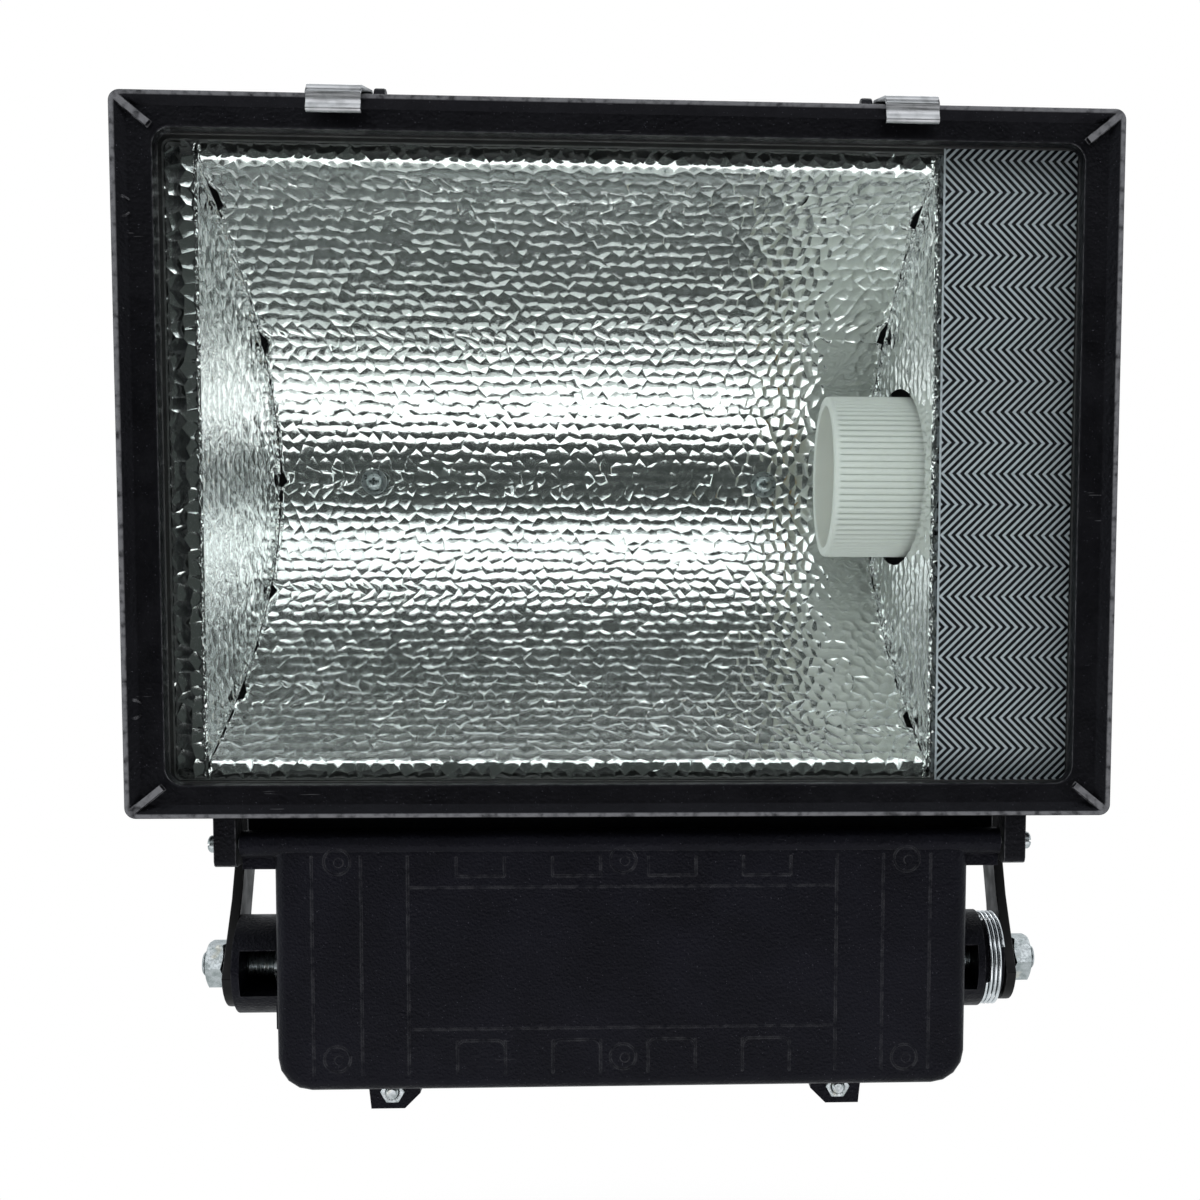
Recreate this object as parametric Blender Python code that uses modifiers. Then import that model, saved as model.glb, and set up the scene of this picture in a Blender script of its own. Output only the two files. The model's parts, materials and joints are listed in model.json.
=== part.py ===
"""Floodlight for one horizontal discharge lamp, with its control gear in a box below the lamp chamber.

Millimetres are written as numbers times MM. The lamp is modelled about the centre of its front frame:
+X to the right, -Y out of the glass, +Z up. The world origin is the middle of the stirrup's base,
because the stirrup is what holds the lamp up.
"""
import math

import bmesh
import bpy
from mathutils import Matrix, Vector

MM = 0.001
GAP = 0.3 * MM              # left between pieces that touch

# front frame
WIDTH = 360 * MM
HEIGHT = 256 * MM
MEMBER_X = 14 * MM          # width of an upright member
MEMBER_Z = 11.8 * MM        # width of the top and bottom members
FRAME_DEPTH = 15 * MM
CORNER_OUT = 4 * MM
CORNER_IN = 6.5 * MM
RIM = 1.6 * MM
BAND_START = 5.4 * MM
BAND_Y = 2.5 * MM
CAST = 3 * MM               # wall of the die castings
GLASS_Y = 11.3 * MM
GLASS_THICK = 4 * MM
GLASS_EDGE = 10.2 * MM      # from the frame's outside to the glass's edge
CLIP_Y = GLASS_Y + GLASS_THICK + 2.3 * MM
CLIP_PLACES = [(x * 175.2 * MM, z * 88 * MM) for x in (-1, 1) for z in (-1, 1)]
CLIP_NAMES = ("lower_left", "upper_left", "lower_right", "upper_right")

# door hinge
HINGE_Y = 14 * MM
HINGE_Z = -139.4 * MM
EAR_X = 142.5 * MM
EAR_WIDE = 8 * MM
EAR_DROP = 8 * MM
BAR_R = 5 * MM
BAR_HALF = 141.6 * MM
HINGE_SHANK_R = 2 * MM

# lamp chamber
FLANGE_Y = 19.6 * MM
TUB = (  # depth, half width, half height, corner radius of the outside
    (24 * MM, 172 * MM, 120.5 * MM, 8 * MM),
    (50 * MM, 167.5 * MM, 112 * MM, 14 * MM),
    (74 * MM, 163 * MM, 95 * MM, 16 * MM),
    (95 * MM, 157.5 * MM, 70 * MM, 16 * MM),
    (106 * MM, 154.5 * MM, 48 * MM, 14 * MM),
    (112 * MM, 150 * MM, 30 * MM, 10 * MM),
)
FINS = 7
FIN_PITCH = 40 * MM
FIN_OUTLINE = [  # a cooling fin down the back, in depth and height
    (72 * MM, 99 * MM), (97 * MM, 73 * MM), (110 * MM, 50 * MM), (115.5 * MM, 32 * MM), (115.5 * MM, -32 * MM),
    (110 * MM, -50 * MM), (97 * MM, -73 * MM), (72 * MM, -99 * MM), (72 * MM, -94 * MM), (94 * MM, -68 * MM),
    (110.5 * MM, -27 * MM), (110.5 * MM, 27 * MM), (94 * MM, 68 * MM), (72 * MM, 94 * MM),
]
LIP_OPEN_X = 164 * MM       # the flange's opening, which the reflector's lips rest around
LIP_OPEN_Z = 113 * MM
TUB_BACK = TUB[-1][0]
SHEET = 0.8 * MM
FOLD_Y = FLANGE_Y - GAP - SHEET / 2     # where the reflector turns out into its lips
FOLD_Z = 110 * MM
TROUGH_Y = 102 * MM         # deepest line of the reflector
TROUGH_LEFT = -155.4 * MM   # ends of the trough at the fold, and how far they close in at the back
TROUGH_RIGHT = 115.6 * MM
TROUGH_CLOSE = 10.5 * MM
TROUGH_STRIPS = 17
LIP_Z = 119.4 * MM          # outer edges of the lips
LIP_LEFT = -167.5 * MM
LIP_RIGHT = 127 * MM
REFLECTOR_SCREWS = (-104.9 * MM, 60 * MM)

# lamp holder, its axis along X
HOLDER_Y = 63 * MM
HOLDER_Z = 0.5 * MM
MOUTH_X = 80.3 * MM
COLLAR_R = 32 * MM
COLLAR_BORE = 28 * MM
COLLAR_LONG = 41 * MM
SHELL_R = 22 * MM
HOLDER_PLATE_X = 146.3 * MM
HOLDER_FOOT_Y = 103.6 * MM

# lamp leads, from the holder through the neck and the deck
LEAD_X = 134 * MM
LEAD_Y = 50 * MM
LEAD_HOLE_R = 6 * MM
DECK_LEAD_X = 108 * MM

# gear box
BOX_HALF = 129.5 * MM
BOX_FRONT = 9.5 * MM
BOX_BACK = 88 * MM
BOX_TOP = -138.6 * MM
BOX_BOTTOM = -232.6 * MM
BOX_CORNER = 12.7 * MM
EDGE_R = 4.5 * MM
COVER_DEEP = 16 * MM
DECK_TOP = -138 * MM        # the plate that carries the lamp chamber
DECK_BACK = 72 * MM
NECK_FRONT = 22.5 * MM
LUGS = ((-89 * MM, 1), (83 * MM, -1))   # place, and the side of the larger chamfer
LUG_FRONT = 29 * MM
LUG_DROP = 13 * MM
COVER_TOP_SCREWS = (-112 * MM, 112 * MM)
TOP_SCREW_Z = BOX_TOP - 11 * MM
GLAND_X = 56 * MM
GLAND_Z = -196 * MM
GLAND_R = 11.5 * MM

# stirrup and its pivot
PIVOT_Y = 57 * MM
PIVOT_Z = -195 * MM
DRUM_R = 19.5 * MM
DRUM_END = 152.7 * MM
SPRING_FROM = 143.9 * MM
SPRING_R = 18.2 * MM
SPRING_WIRE = 1.35 * MM
SPRING_PITCH = 1.72 * MM
SPRING_TURNS = 3.876
HUB_R = 15 * MM
SLOT_END = {-1: 149.6 * MM, 1: 141 * MM}    # the slots for the bolts' heads, on the left and the right
ARM_IN = 153 * MM
ARM_THICK = 4 * MM
ARM_WIDE = 18 * MM
BASE_WIDE = 30 * MM
EYE_R = 17 * MM
ARM_LONG = 200 * MM
LEAN = math.radians(24)
BOLT_R = 4.9 * MM
BOLT_AF = 17 * MM

# latches
LATCH_X = 101.8 * MM
LATCH_WIDE = 19 * MM
LATCH_PIN = Vector((0, 24.5 * MM, 134 * MM))
LATCH_PIN_R = 1.5 * MM
LATCH_SHEET = 0.9 * MM

BASE_AT = Vector((0, PIVOT_Y + ARM_LONG * math.sin(LEAN), PIVOT_Z + ARM_LONG * math.cos(LEAN)))

AXIS_TURN = {
    "X": Matrix.Rotation(math.pi / 2, 4, "Y"),
    "Y": Matrix.Rotation(-math.pi / 2, 4, "X"),
    "Z": Matrix.Identity(4),
}


# ---------------------------------------------------------------- scene

def clear_scene():
    for obj in list(bpy.data.objects):
        bpy.data.objects.remove(obj, do_unlink=True)


def new_collection(name):
    collection = bpy.data.collections.new(name)
    bpy.context.scene.collection.children.link(collection)
    return collection


clear_scene()
PARTS = new_collection("grow_lamp")
CUTTERS = new_collection("cutters")


def material(name, colour, roughness, metallic=0.0, transmission=0.0):
    mat = bpy.data.materials.new(name)
    mat.use_nodes = True
    shader = mat.node_tree.nodes["Principled BSDF"]
    shader.inputs["Base Color"].default_value = (*colour, 1)
    shader.inputs["Roughness"].default_value = roughness
    shader.inputs["Metallic"].default_value = metallic
    shader.inputs["Transmission Weight"].default_value = transmission
    mat.diffuse_color = (*colour, 1)
    return mat


BLACK_CAST = ("black_cast", (0.012, 0.012, 0.014), 0.5, 0.0)
BLACK_STEEL = ("black_steel", (0.015, 0.015, 0.016), 0.45, 0.0)
GLASS = ("glass", (0.9, 0.95, 0.93), 0.02, 0.0, 0.95)
SILICONE = ("silicone", (0.55, 0.56, 0.55), 0.6)
HAMMERED = ("hammered_aluminium", (0.78, 0.8, 0.8), 0.22, 1.0)
STAINLESS = ("stainless_sheet", (0.55, 0.56, 0.56), 0.42, 1.0)
ZINC = ("zinc_plate", (0.62, 0.66, 0.66), 0.35, 1.0)
CERAMIC = ("ceramic", (0.82, 0.84, 0.8), 0.4)
BRASS = ("brass", (0.72, 0.52, 0.22), 0.35, 1.0)
LAMINATION = ("lamination", (0.2, 0.2, 0.21), 0.5, 1.0)
WINDING = ("winding", (0.5, 0.2, 0.07), 0.4)
WHITE_PLASTIC = ("white_plastic", (0.75, 0.75, 0.72), 0.45)
BLACK_PLASTIC = ("black_plastic", (0.02, 0.02, 0.02), 0.4)
LEAD_SLEEVE = ("lead_sleeve", (0.7, 0.68, 0.62), 0.6)


# ---------------------------------------------------------------- helpers

def empty(name, location, parent=None, turn_x=0.0):
    obj = bpy.data.objects.new(name, None)
    obj.empty_display_size = 0.02
    obj.location = location
    obj.rotation_euler = (turn_x, 0, 0)
    obj.parent = parent
    PARTS.objects.link(obj)
    return obj


LAMP = empty("lamp_datum", -BASE_AT)
DOOR = empty("door_hinge_axis", (0, HINGE_Y, HINGE_Z), LAMP)
PIVOT = empty("stirrup_pivot_axis", (0, PIVOT_Y, PIVOT_Z), LAMP, -LEAN)
LATCHES = {
    side: empty(f"latch_{side}_axis", LATCH_PIN + Vector((x, 0, 0)), LAMP)
    for side, x in (("left", -LATCH_X), ("right", LATCH_X))
}


def add(name, mesh, location=(0, 0, 0), turn=None):
    """A mesh object in the parts' collection, placed in the lamp's own axes."""
    obj = bpy.data.objects.new(name, mesh)
    PARTS.objects.link(obj)
    if turn is not None:
        obj.rotation_euler = turn.to_euler()
    obj.location = location
    obj.parent = LAMP
    return obj


def finish(obj, look, owner=None, smooth=30):
    """Gives a part its material, its shading and, when it moves, the empty on its axis."""
    if owner is not None:
        obj.location = Vector(obj.location) - Vector(owner.location)
        obj.parent = owner
    obj.data.materials.clear()
    obj.data.materials.append(material(obj.name, *look[1:]))
    obj.data.shade_smooth()
    obj.data.set_sharp_from_angle(angle=math.radians(smooth))
    return obj


def tool(obj):
    """Makes an object a cutter, or the second shape of a union."""
    PARTS.objects.unlink(obj)
    CUTTERS.objects.link(obj)
    obj.hide_render = True
    obj.display_type = "WIRE"
    return obj


def boolean(obj, other, operation="DIFFERENCE"):
    modifier = obj.modifiers.new(other.name, "BOOLEAN")
    modifier.operation = operation
    modifier.solver = "EXACT"
    modifier.object = tool(other)
    return obj


def cut(obj, *others):
    for other in others:
        boolean(obj, other)
    return obj


def join(obj, *others):
    for other in others:
        boolean(obj, other, "UNION")
    return obj


def bevel(obj, width, segments=2, angle=40):
    modifier = obj.modifiers.new("bevel", "BEVEL")
    modifier.width = width
    modifier.segments = segments
    modifier.limit_method = "ANGLE"
    modifier.angle_limit = math.radians(angle)
    return obj


def mesh_from(bm, name):
    bmesh.ops.recalc_face_normals(bm, faces=bm.faces)
    mesh = bpy.data.meshes.new(name)
    bm.to_mesh(mesh)
    bm.free()
    return mesh


def block(name, low, high):
    """A box between two corners."""
    low, high = Vector(low), Vector(high)
    bm = bmesh.new()
    bmesh.ops.create_cube(bm, size=1)
    bmesh.ops.scale(bm, vec=high - low, verts=bm.verts)
    return add(name, mesh_from(bm, name), (low + high) / 2)


def rod(name, radius, start, length, axis="X", sides=24, radius_end=None, turned=0.0):
    """A cylinder, cone or prism from start along an axis."""
    bm = bmesh.new()
    bmesh.ops.create_cone(
        bm, cap_ends=True, segments=sides, radius1=radius, depth=length,
        radius2=radius if radius_end is None else radius_end,
    )
    bmesh.ops.rotate(bm, verts=bm.verts, matrix=Matrix.Rotation(turned, 3, "Z"))
    bmesh.ops.translate(bm, verts=bm.verts, vec=(0, 0, length / 2))
    return add(name, mesh_from(bm, name), start, AXIS_TURN[axis])


def turned(name, profile, start, axis="X", steps=32):
    """A turned piece: (radius, height) points, down the outer side and back up the inner one."""
    bm = bmesh.new()
    points = [bm.verts.new((radius, 0, height)) for radius, height in profile]
    closed = profile[0][0] > 0
    for first, second in zip(points, points[1:] + points[:1] if closed else points[1:]):
        bm.edges.new((first, second))
    mesh = bpy.data.meshes.new(name)
    bm.to_mesh(mesh)
    bm.free()
    obj = add(name, mesh, start, AXIS_TURN[axis])
    screw = obj.modifiers.new("turn", "SCREW")
    screw.steps = screw.render_steps = steps
    screw.use_merge_vertices = True
    screw.merge_threshold = 0.00001
    return obj


def arc(centre, radius, start, end, steps):
    """Points on an arc in a plane, both ends included; angles in degrees."""
    turns = [math.radians(start + (end - start) * n / steps) for n in range(steps + 1)]
    return [(centre[0] + radius * math.cos(t), centre[1] + radius * math.sin(t)) for t in turns]


def rounded(half_x, low_z, high_z, top_r, bottom_r=None, steps=4):
    """A rectangle with round corners, anticlockwise seen from the front."""
    bottom_r = top_r if bottom_r is None else bottom_r
    points = arc((half_x - bottom_r, low_z + bottom_r), bottom_r, -90, 0, steps)
    points += arc((half_x - top_r, high_z - top_r), top_r, 0, 90, steps)
    points += arc((top_r - half_x, high_z - top_r), top_r, 90, 180, steps)
    points += arc((bottom_r - half_x, low_z + bottom_r), bottom_r, 180, 270, steps)
    return points


def loft(name, rings, caps):
    """Joins rings of (y, outline) into a skin. It is capped at both ends, or closed on itself."""
    bm = bmesh.new()
    rows = [[bm.verts.new((x, y, z)) for x, z in outline] for y, outline in rings]
    pairs = list(zip(rows, rows[1:])) + ([] if caps else [(rows[-1], rows[0])])
    for first, second in pairs:
        count = len(first)
        for n in range(count):
            bm.faces.new((first[n], first[(n + 1) % count], second[(n + 1) % count], second[n]))
    if caps:
        bm.faces.new(rows[0])
        bm.faces.new(rows[-1])
    return add(name, mesh_from(bm, name))


def plate(name, outline, thickness, location=(0, 0, 0), axis="Y", holes=()):
    """A flat outline, given across the axis it is extruded along, with its middle at location."""
    curve = bpy.data.curves.new(name, "CURVE")
    curve.dimensions = "2D"
    curve.fill_mode = "BOTH"
    curve.extrude = thickness / 2
    for loop in (outline, *holes):
        spline = curve.splines.new("POLY")
        spline.points.add(len(loop) - 1)
        for point, (u, v) in zip(spline.points, loop):
            point.co = (u, v, 0, 1)
        spline.use_cyclic_u = True
    mesh = solid_from_curve(name, curve)
    # the outline's plane is XZ for a plate across Y, YZ for one across X, XY for one across Z
    stand = {
        "Y": Matrix.Rotation(math.pi / 2, 4, "X"),
        "X": Matrix(((0, 0, 1, 0), (1, 0, 0, 0), (0, 1, 0, 0), (0, 0, 0, 1))),
        "Z": Matrix.Identity(4),
    }
    mesh.transform(stand[axis])
    return add(name, mesh, location)


def solid_from_curve(name, curve):
    """The closed mesh of a filled curve, with its caps welded on."""
    guide = bpy.data.objects.new(name, curve)
    PARTS.objects.link(guide)
    bpy.context.view_layer.update()
    mesh = bpy.data.meshes.new_from_object(guide.evaluated_get(bpy.context.evaluated_depsgraph_get()))
    bpy.data.objects.remove(guide, do_unlink=True)
    bm = bmesh.new()
    bm.from_mesh(mesh)
    bmesh.ops.remove_doubles(bm, verts=bm.verts, dist=0.000002)
    bmesh.ops.dissolve_limit(bm, angle_limit=0.001, verts=bm.verts, edges=bm.edges)
    bm.to_mesh(mesh)
    bm.free()
    return mesh


def tube(name, points, radius, cyclic=False):
    """A round wire through the points."""
    curve = bpy.data.curves.new(name, "CURVE")
    curve.dimensions = "3D"
    curve.bevel_depth = radius
    curve.bevel_resolution = 2
    curve.use_fill_caps = True
    spline = curve.splines.new("POLY")
    spline.points.add(len(points) - 1)
    for point, place in zip(spline.points, points):
        point.co = (*place, 1)
    spline.use_cyclic_u = cyclic
    return add(name, solid_from_curve(name, curve))


def hexagon(name, across_flats, start, length, flat_up=True):
    """A hexagonal bar along X, with a flat or a corner at the top."""
    return rod(name, across_flats / math.sqrt(3), start, length, "X", 6,
               turned=math.pi / 6 if not flat_up else 0.0)


# ---------------------------------------------------------------- door

def frame_outline(inset):
    """The frame's outline moved in by a share of the members' widths, 0 outside and 1 at the opening."""
    radius = CORNER_OUT + (CORNER_IN - CORNER_OUT) * inset
    return rounded(WIDTH / 2 - MEMBER_X * inset, MEMBER_Z * inset - HEIGHT / 2,
                   HEIGHT / 2 - MEMBER_Z * inset, radius)


def ear(side):
    """One hinge ear under the frame, with chamfered ends."""
    top, bottom = MEMBER_Z / 2 - HEIGHT / 2, HINGE_Z - EAR_DROP
    front, back = HINGE_Y - 6 * MM, HINGE_Y + 6 * MM
    chamfer = 2.5 * MM
    outline = [
        (front, top), (front, bottom + chamfer), (front + chamfer, bottom), (back - chamfer, bottom),
        (back, bottom + chamfer), (back, -HEIGHT / 2 - 2 * MM), (FRAME_DEPTH - 1 * MM, -HEIGHT / 2 + 1 * MM),
        (FRAME_DEPTH - 1 * MM, top),
    ]
    middle = side * (EAR_X + EAR_WIDE / 2)
    return plate(f"ear_{side}", outline, EAR_WIDE, (middle, 0, 0), "X")


def door_frame():
    skirt, web_back, lip_from = 0.2, 7.5 * MM, 0.78
    rings = [
        (0.4 * MM, frame_outline(0)), (0, frame_outline(0.03)), (0, frame_outline(RIM / MEMBER_X)),
        (BAND_Y, frame_outline(BAND_START / MEMBER_X)), (BAND_Y, frame_outline(1)),
        (GLASS_Y - 2.2 * MM, frame_outline(1)), (GLASS_Y - 2.2 * MM, frame_outline(lip_from)),
        (web_back, frame_outline(lip_from)), (web_back, frame_outline(skirt)),
        (FRAME_DEPTH, frame_outline(skirt)), (FRAME_DEPTH, frame_outline(0)),
    ]
    frame = loft("door_frame", rings, caps=False)
    join(frame, ear(-1), ear(1))
    for n, (x, z) in enumerate(CLIP_PLACES):
        post = rod(f"clip_post_{n}", 3.4 * MM, (x, web_back - 1 * MM, z), CLIP_Y - GAP - web_back + 1 * MM, "Y", 16)
        join(frame, post)
        cut(frame, rod(f"clip_thread_{n}", 1.6 * MM, (x, web_back + 1 * MM, z), 20 * MM, "Y", 12))
    for side in (-1, 1):
        cut(frame, rod(f"ear_bore_{side}", HINGE_SHANK_R + 0.15 * MM,
                       (side * EAR_X - 10 * MM, HINGE_Y, HINGE_Z), 30 * MM, "X", 20))
    finish(frame, BLACK_CAST, DOOR)


def glass_and_seal():
    half_x, half_z = WIDTH / 2 - GLASS_EDGE, HEIGHT / 2 - GLASS_EDGE + 1.6 * MM
    pane = plate("front_glass", rounded(half_x, -half_z, half_z, 5 * MM), GLASS_THICK,
                 (0, GLASS_Y + GLASS_THICK / 2, 0))
    finish(pane, GLASS, DOOR)
    wall, cover = 1.6 * MM, 3.6 * MM
    front, back = GLASS_Y - 1.9 * MM, CLIP_Y - GAP
    out_x, out_z = half_x + GAP + wall, half_z + GAP + wall

    def around(inset, radius):
        return rounded(out_x - inset, inset - out_z, out_z - inset, radius)

    deep, slot, step = wall + GAP + cover, wall, 3.9 * MM
    bead = FLANGE_Y - 1.4 * MM     # the inner part stands further back, onto the reflector's lips
    rings = [
        (front, around(0, 6 * MM)), (back, around(0, 6 * MM)), (back, around(step, 4 * MM)),
        (bead, around(step, 4 * MM)), (bead, around(deep, 3 * MM)),
        (GLASS_Y + GLASS_THICK + GAP, around(deep, 3 * MM)), (GLASS_Y + GLASS_THICK + GAP, around(slot, 5.2 * MM)),
        (GLASS_Y - GAP, around(slot, 5.2 * MM)), (GLASS_Y - GAP, around(deep, 3 * MM)), (front, around(deep, 3 * MM)),
    ]
    finish(loft("glass_seal", rings, caps=False), SILICONE, DOOR)


def glass_clips():
    long, wide, thick = 7 * MM, 10 * MM, 1 * MM
    for name, (x, z) in zip(CLIP_NAMES, CLIP_PLACES):
        side = math.copysign(1, x)
        ends = sorted((x + side * 3 * MM, x - side * long))
        clip = block(f"glass_clip_{name}", (ends[0], CLIP_Y, z - wide / 2), (ends[1], CLIP_Y + thick, z + wide / 2))
        cut(clip, rod(f"clip_hole_{name}", 1.8 * MM, (x, CLIP_Y - 2 * MM, z), 6 * MM, "Y", 16))
        finish(clip, ZINC, DOOR)
        head = CLIP_Y + thick + GAP
        screw = turned(f"glass_clip_screw_{name}", [
            (0, head + 1.6 * MM), (2.4 * MM, head + 1.2 * MM), (3 * MM, head), (1.4 * MM, head),
            (1.4 * MM, head - 7 * MM), (0, head - 7 * MM)], (x, 0, z), "Y", 16)
        finish(screw, ZINC, DOOR)


# ---------------------------------------------------------------- latches

def latch_profile():
    """The spring clip from the side: lip, hollow, shoulder, lever and the curl round its pin."""
    y, z = LATCH_PIN.y, LATCH_PIN.z
    curl = LATCH_PIN_R + GAP + LATCH_SHEET / 2
    path = arc((-2.4 * MM, 121.9 * MM), 1.0 * MM, -60, -180, 4)
    path += arc((-6.2 * MM, 124.9 * MM), 3.9 * MM, -38, 34, 4)[1:]
    path += arc((0.5 * MM, 128.9 * MM), 1.5 * MM, 200, 110, 4)
    path += arc((y, z), curl, 108, -150, 10)
    return path


def strip_outline(path, thickness):
    """Both sides of a bent strip whose middle runs along the path."""
    points = [Vector(p) for p in path]
    left, right = [], []
    for n, point in enumerate(points):
        before, after = points[max(n - 1, 0)], points[min(n + 1, len(points) - 1)]
        along = (after - before).normalized()
        across = Vector((-along.y, along.x)) * thickness / 2
        left.append(tuple(point + across))
        right.append(tuple(point - across))
    return left + right[::-1]


def latches():
    outline = strip_outline(latch_profile(), LATCH_SHEET)
    for side, x in (("left", -LATCH_X), ("right", LATCH_X)):
        clip = plate(f"latch_{side}", outline, LATCH_WIDE, (x, 0, 0), "X")
        finish(clip, STAINLESS, LATCHES[side])
        pin_half = LATCH_WIDE / 2 + 5 * MM
        pin = rod(f"latch_pin_{side}", LATCH_PIN_R, (x - pin_half, LATCH_PIN.y, LATCH_PIN.z), 2 * pin_half, "X", 16)
        finish(pin, ZINC)


# ---------------------------------------------------------------- lamp chamber

def tub_ring(depth, half_x, half_z, radius, inset=0.0):
    return depth - inset, rounded(half_x - inset, inset - half_z, half_z - inset, max(radius - inset, 2 * MM))


def latch_posts(housing):
    """The pair of posts that hold each latch's pin, on the chamber's top."""
    for side, x in (("left", -LATCH_X), ("right", LATCH_X)):
        for end in (-1, 1):
            middle = x + end * (LATCH_WIDE / 2 + 2.9 * MM)
            base, top = 112 * MM, LATCH_PIN.z
            outline = [(20.5 * MM, base), (36 * MM, base), (LATCH_PIN.y + 3.4 * MM, top)]
            outline += arc((LATCH_PIN.y, top), 3.4 * MM, 0, 180, 6)[1:]
            join(housing, plate(f"latch_post_{side}_{end}", outline, 4.4 * MM, (middle, 0, 0), "X"))
        cut(housing, rod(f"latch_bore_{side}", LATCH_PIN_R + 0.12 * MM,
                         (x - 20 * MM, LATCH_PIN.y, LATCH_PIN.z), 40 * MM, "X", 16))


def neck_hollow(housing):
    """Hollows the foot that stands on the gear box's deck, and lets the lamp's leads through."""
    low = DECK_TOP - 3 * MM
    cut(housing, block("neck_hollow", (4 * MM - BAR_HALF, NECK_FRONT + 4 * MM, low),
                       (BAR_HALF - 4 * MM, DECK_BACK - 6 * MM, -123.5 * MM)))
    cut(housing, rod("neck_lead_hole", LEAD_HOLE_R, (LEAD_X, LEAD_Y, -130 * MM), 40 * MM, "Z", 16))


def lamp_housing():
    flange_x, flange_z = WIDTH / 2 - 3.4 * MM, HEIGHT / 2 - 3.4 * MM
    flange = rounded(flange_x, -flange_z, flange_z, 6 * MM)
    housing = loft("lamp_housing", [(FLANGE_Y, flange), (FLANGE_Y + 4.4 * MM, flange)]
                   + [tub_ring(*row) for row in TUB], caps=True)
    join(housing, block("neck_foot", (-BAR_HALF, NECK_FRONT, DECK_TOP + 2 * MM),
                        (BAR_HALF, DECK_BACK - 2 * MM, -100 * MM)))
    latch_posts(housing)
    opening = rounded(LIP_OPEN_X, -LIP_OPEN_Z, LIP_OPEN_Z, 4 * MM)
    inner = rounded(TUB[0][1] - CAST, CAST - TUB[0][2], TUB[0][2] - CAST, 6 * MM)
    shelf = FLANGE_Y + 2.8 * MM
    hollow = [(FLANGE_Y - 2 * MM, opening), (shelf, opening), (shelf, inner)]
    hollow += [tub_ring(*row, CAST) for row in TUB[1:]]
    cut(housing, loft("chamber_hollow", hollow, caps=True))
    neck_hollow(housing)
    for n, x in enumerate(REFLECTOR_SCREWS):
        post = screw_seat() + SHEET / 2 + GAP
        join(housing, rod(f"reflector_post_{n}", 6 * MM, (x, post, 0), TUB_BACK - 1 * MM - post, "Y", 20))
        cut(housing, rod(f"reflector_thread_{n}", 2.2 * MM, (x, post - 1 * MM, 0), 9 * MM, "Y", 16))
    join(housing, block("holder_pad", (128 * MM, HOLDER_FOOT_Y + 2 * MM + GAP, -14 * MM),
                        (147 * MM, TUB_BACK - 1 * MM, 14 * MM)))
    for n, (x, z) in enumerate(CLIP_PLACES):
        edge = math.copysign(WIDTH / 2, x)
        ends = sorted((edge, x - math.copysign(9 * MM, x)))
        cut(housing, block(f"clip_pocket_{n}", (ends[0], FLANGE_Y - 2 * MM, z - 8 * MM),
                           (ends[1], FLANGE_Y + 2.6 * MM, z + 8 * MM)))
    for n in range(FINS):
        x = (n - (FINS - 1) / 2) * FIN_PITCH
        fin = plate(f"fin_{n}", FIN_OUTLINE, 2.6 * MM, (x, 0, 0), "X")
        join(housing, fin)
    finish(housing, BLACK_CAST)


# ---------------------------------------------------------------- reflector

def trough_depth(z):
    """How deep the reflector is at a height: a parabola between its two folds."""
    return TROUGH_Y - (TROUGH_Y - FOLD_Y) * (z / FOLD_Z) ** 2


def trough_ends(y):
    """The trough's two ends at a depth: the end plates close in towards the back."""
    share = (y - FOLD_Y) / (TROUGH_Y - FOLD_Y)
    return TROUGH_LEFT + TROUGH_CLOSE * share, TROUGH_RIGHT - TROUGH_CLOSE * share


def sheet_grid(name, rows):
    """A thin sheet through rows of points."""
    bm = bmesh.new()
    grid = [[bm.verts.new(point) for point in row] for row in rows]
    for first, second in zip(grid, grid[1:]):
        for n in range(len(first) - 1):
            bm.faces.new((first[n], first[n + 1], second[n + 1], second[n]))
    obj = add(name, mesh_from(bm, name))
    solidify = obj.modifiers.new("thickness", "SOLIDIFY")
    solidify.thickness = SHEET
    solidify.offset = 0
    return obj


def trough_heights():
    """The heights of the trough's folds. Their odd number of strips leaves a flat one for the screws."""
    return [FOLD_Z * math.cos(math.pi * n / TROUGH_STRIPS) for n in range(TROUGH_STRIPS + 1)]


def screw_seat():
    """The depth of the flat strip in the middle of the trough."""
    return trough_depth(trough_heights()[TROUGH_STRIPS // 2])


def reflector_trough():
    left, right = trough_ends(FOLD_Y)
    play = 1.2 * MM         # between the trough and its end plates
    rows = [[(left + play, FOLD_Y, LIP_Z), (right - play, FOLD_Y, LIP_Z)]]
    for z in trough_heights():
        y = trough_depth(z)
        left, right = trough_ends(y)
        rows.append([(left + play, y, z), (right - play, y, z)])
    left, right = trough_ends(FOLD_Y)
    rows.append([(left + play, FOLD_Y, -LIP_Z), (right - play, FOLD_Y, -LIP_Z)])
    trough = sheet_grid("reflector_trough", rows)
    for n, x in enumerate(REFLECTOR_SCREWS):
        cut(trough, rod(f"trough_hole_{n}", 2.4 * MM, (x, TROUGH_Y - 5 * MM, 0), 10 * MM, "Y", 16))
    finish(trough, HAMMERED)


def end_plate(name, side, lip_end):
    """One slanted end of the reflector, with its lip along the front."""
    steps, rows = 10, []
    for n in range(-steps, steps + 1):
        z = FOLD_Z * math.sin(math.pi / 2 * n / steps)
        back = max(trough_depth(z) - 1.6 * MM, FOLD_Y + 1.4 * MM)
        depths = (FOLD_Y, (FOLD_Y + back) / 2, back)
        rows.append([(trough_ends(y)[(side + 1) // 2], y, z) for y in depths])
    plate_end = sheet_grid(name, rows)
    fold_x = trough_ends(FOLD_Y)[(side + 1) // 2] - side * SHEET / 2
    low_x, high_x = sorted((fold_x, lip_end))
    return join(plate_end, block(f"{name}_lip", (low_x, FOLD_Y - SHEET / 2, -LIP_Z),
                                 (high_x, FOLD_Y + SHEET / 2, LIP_Z)))


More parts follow.
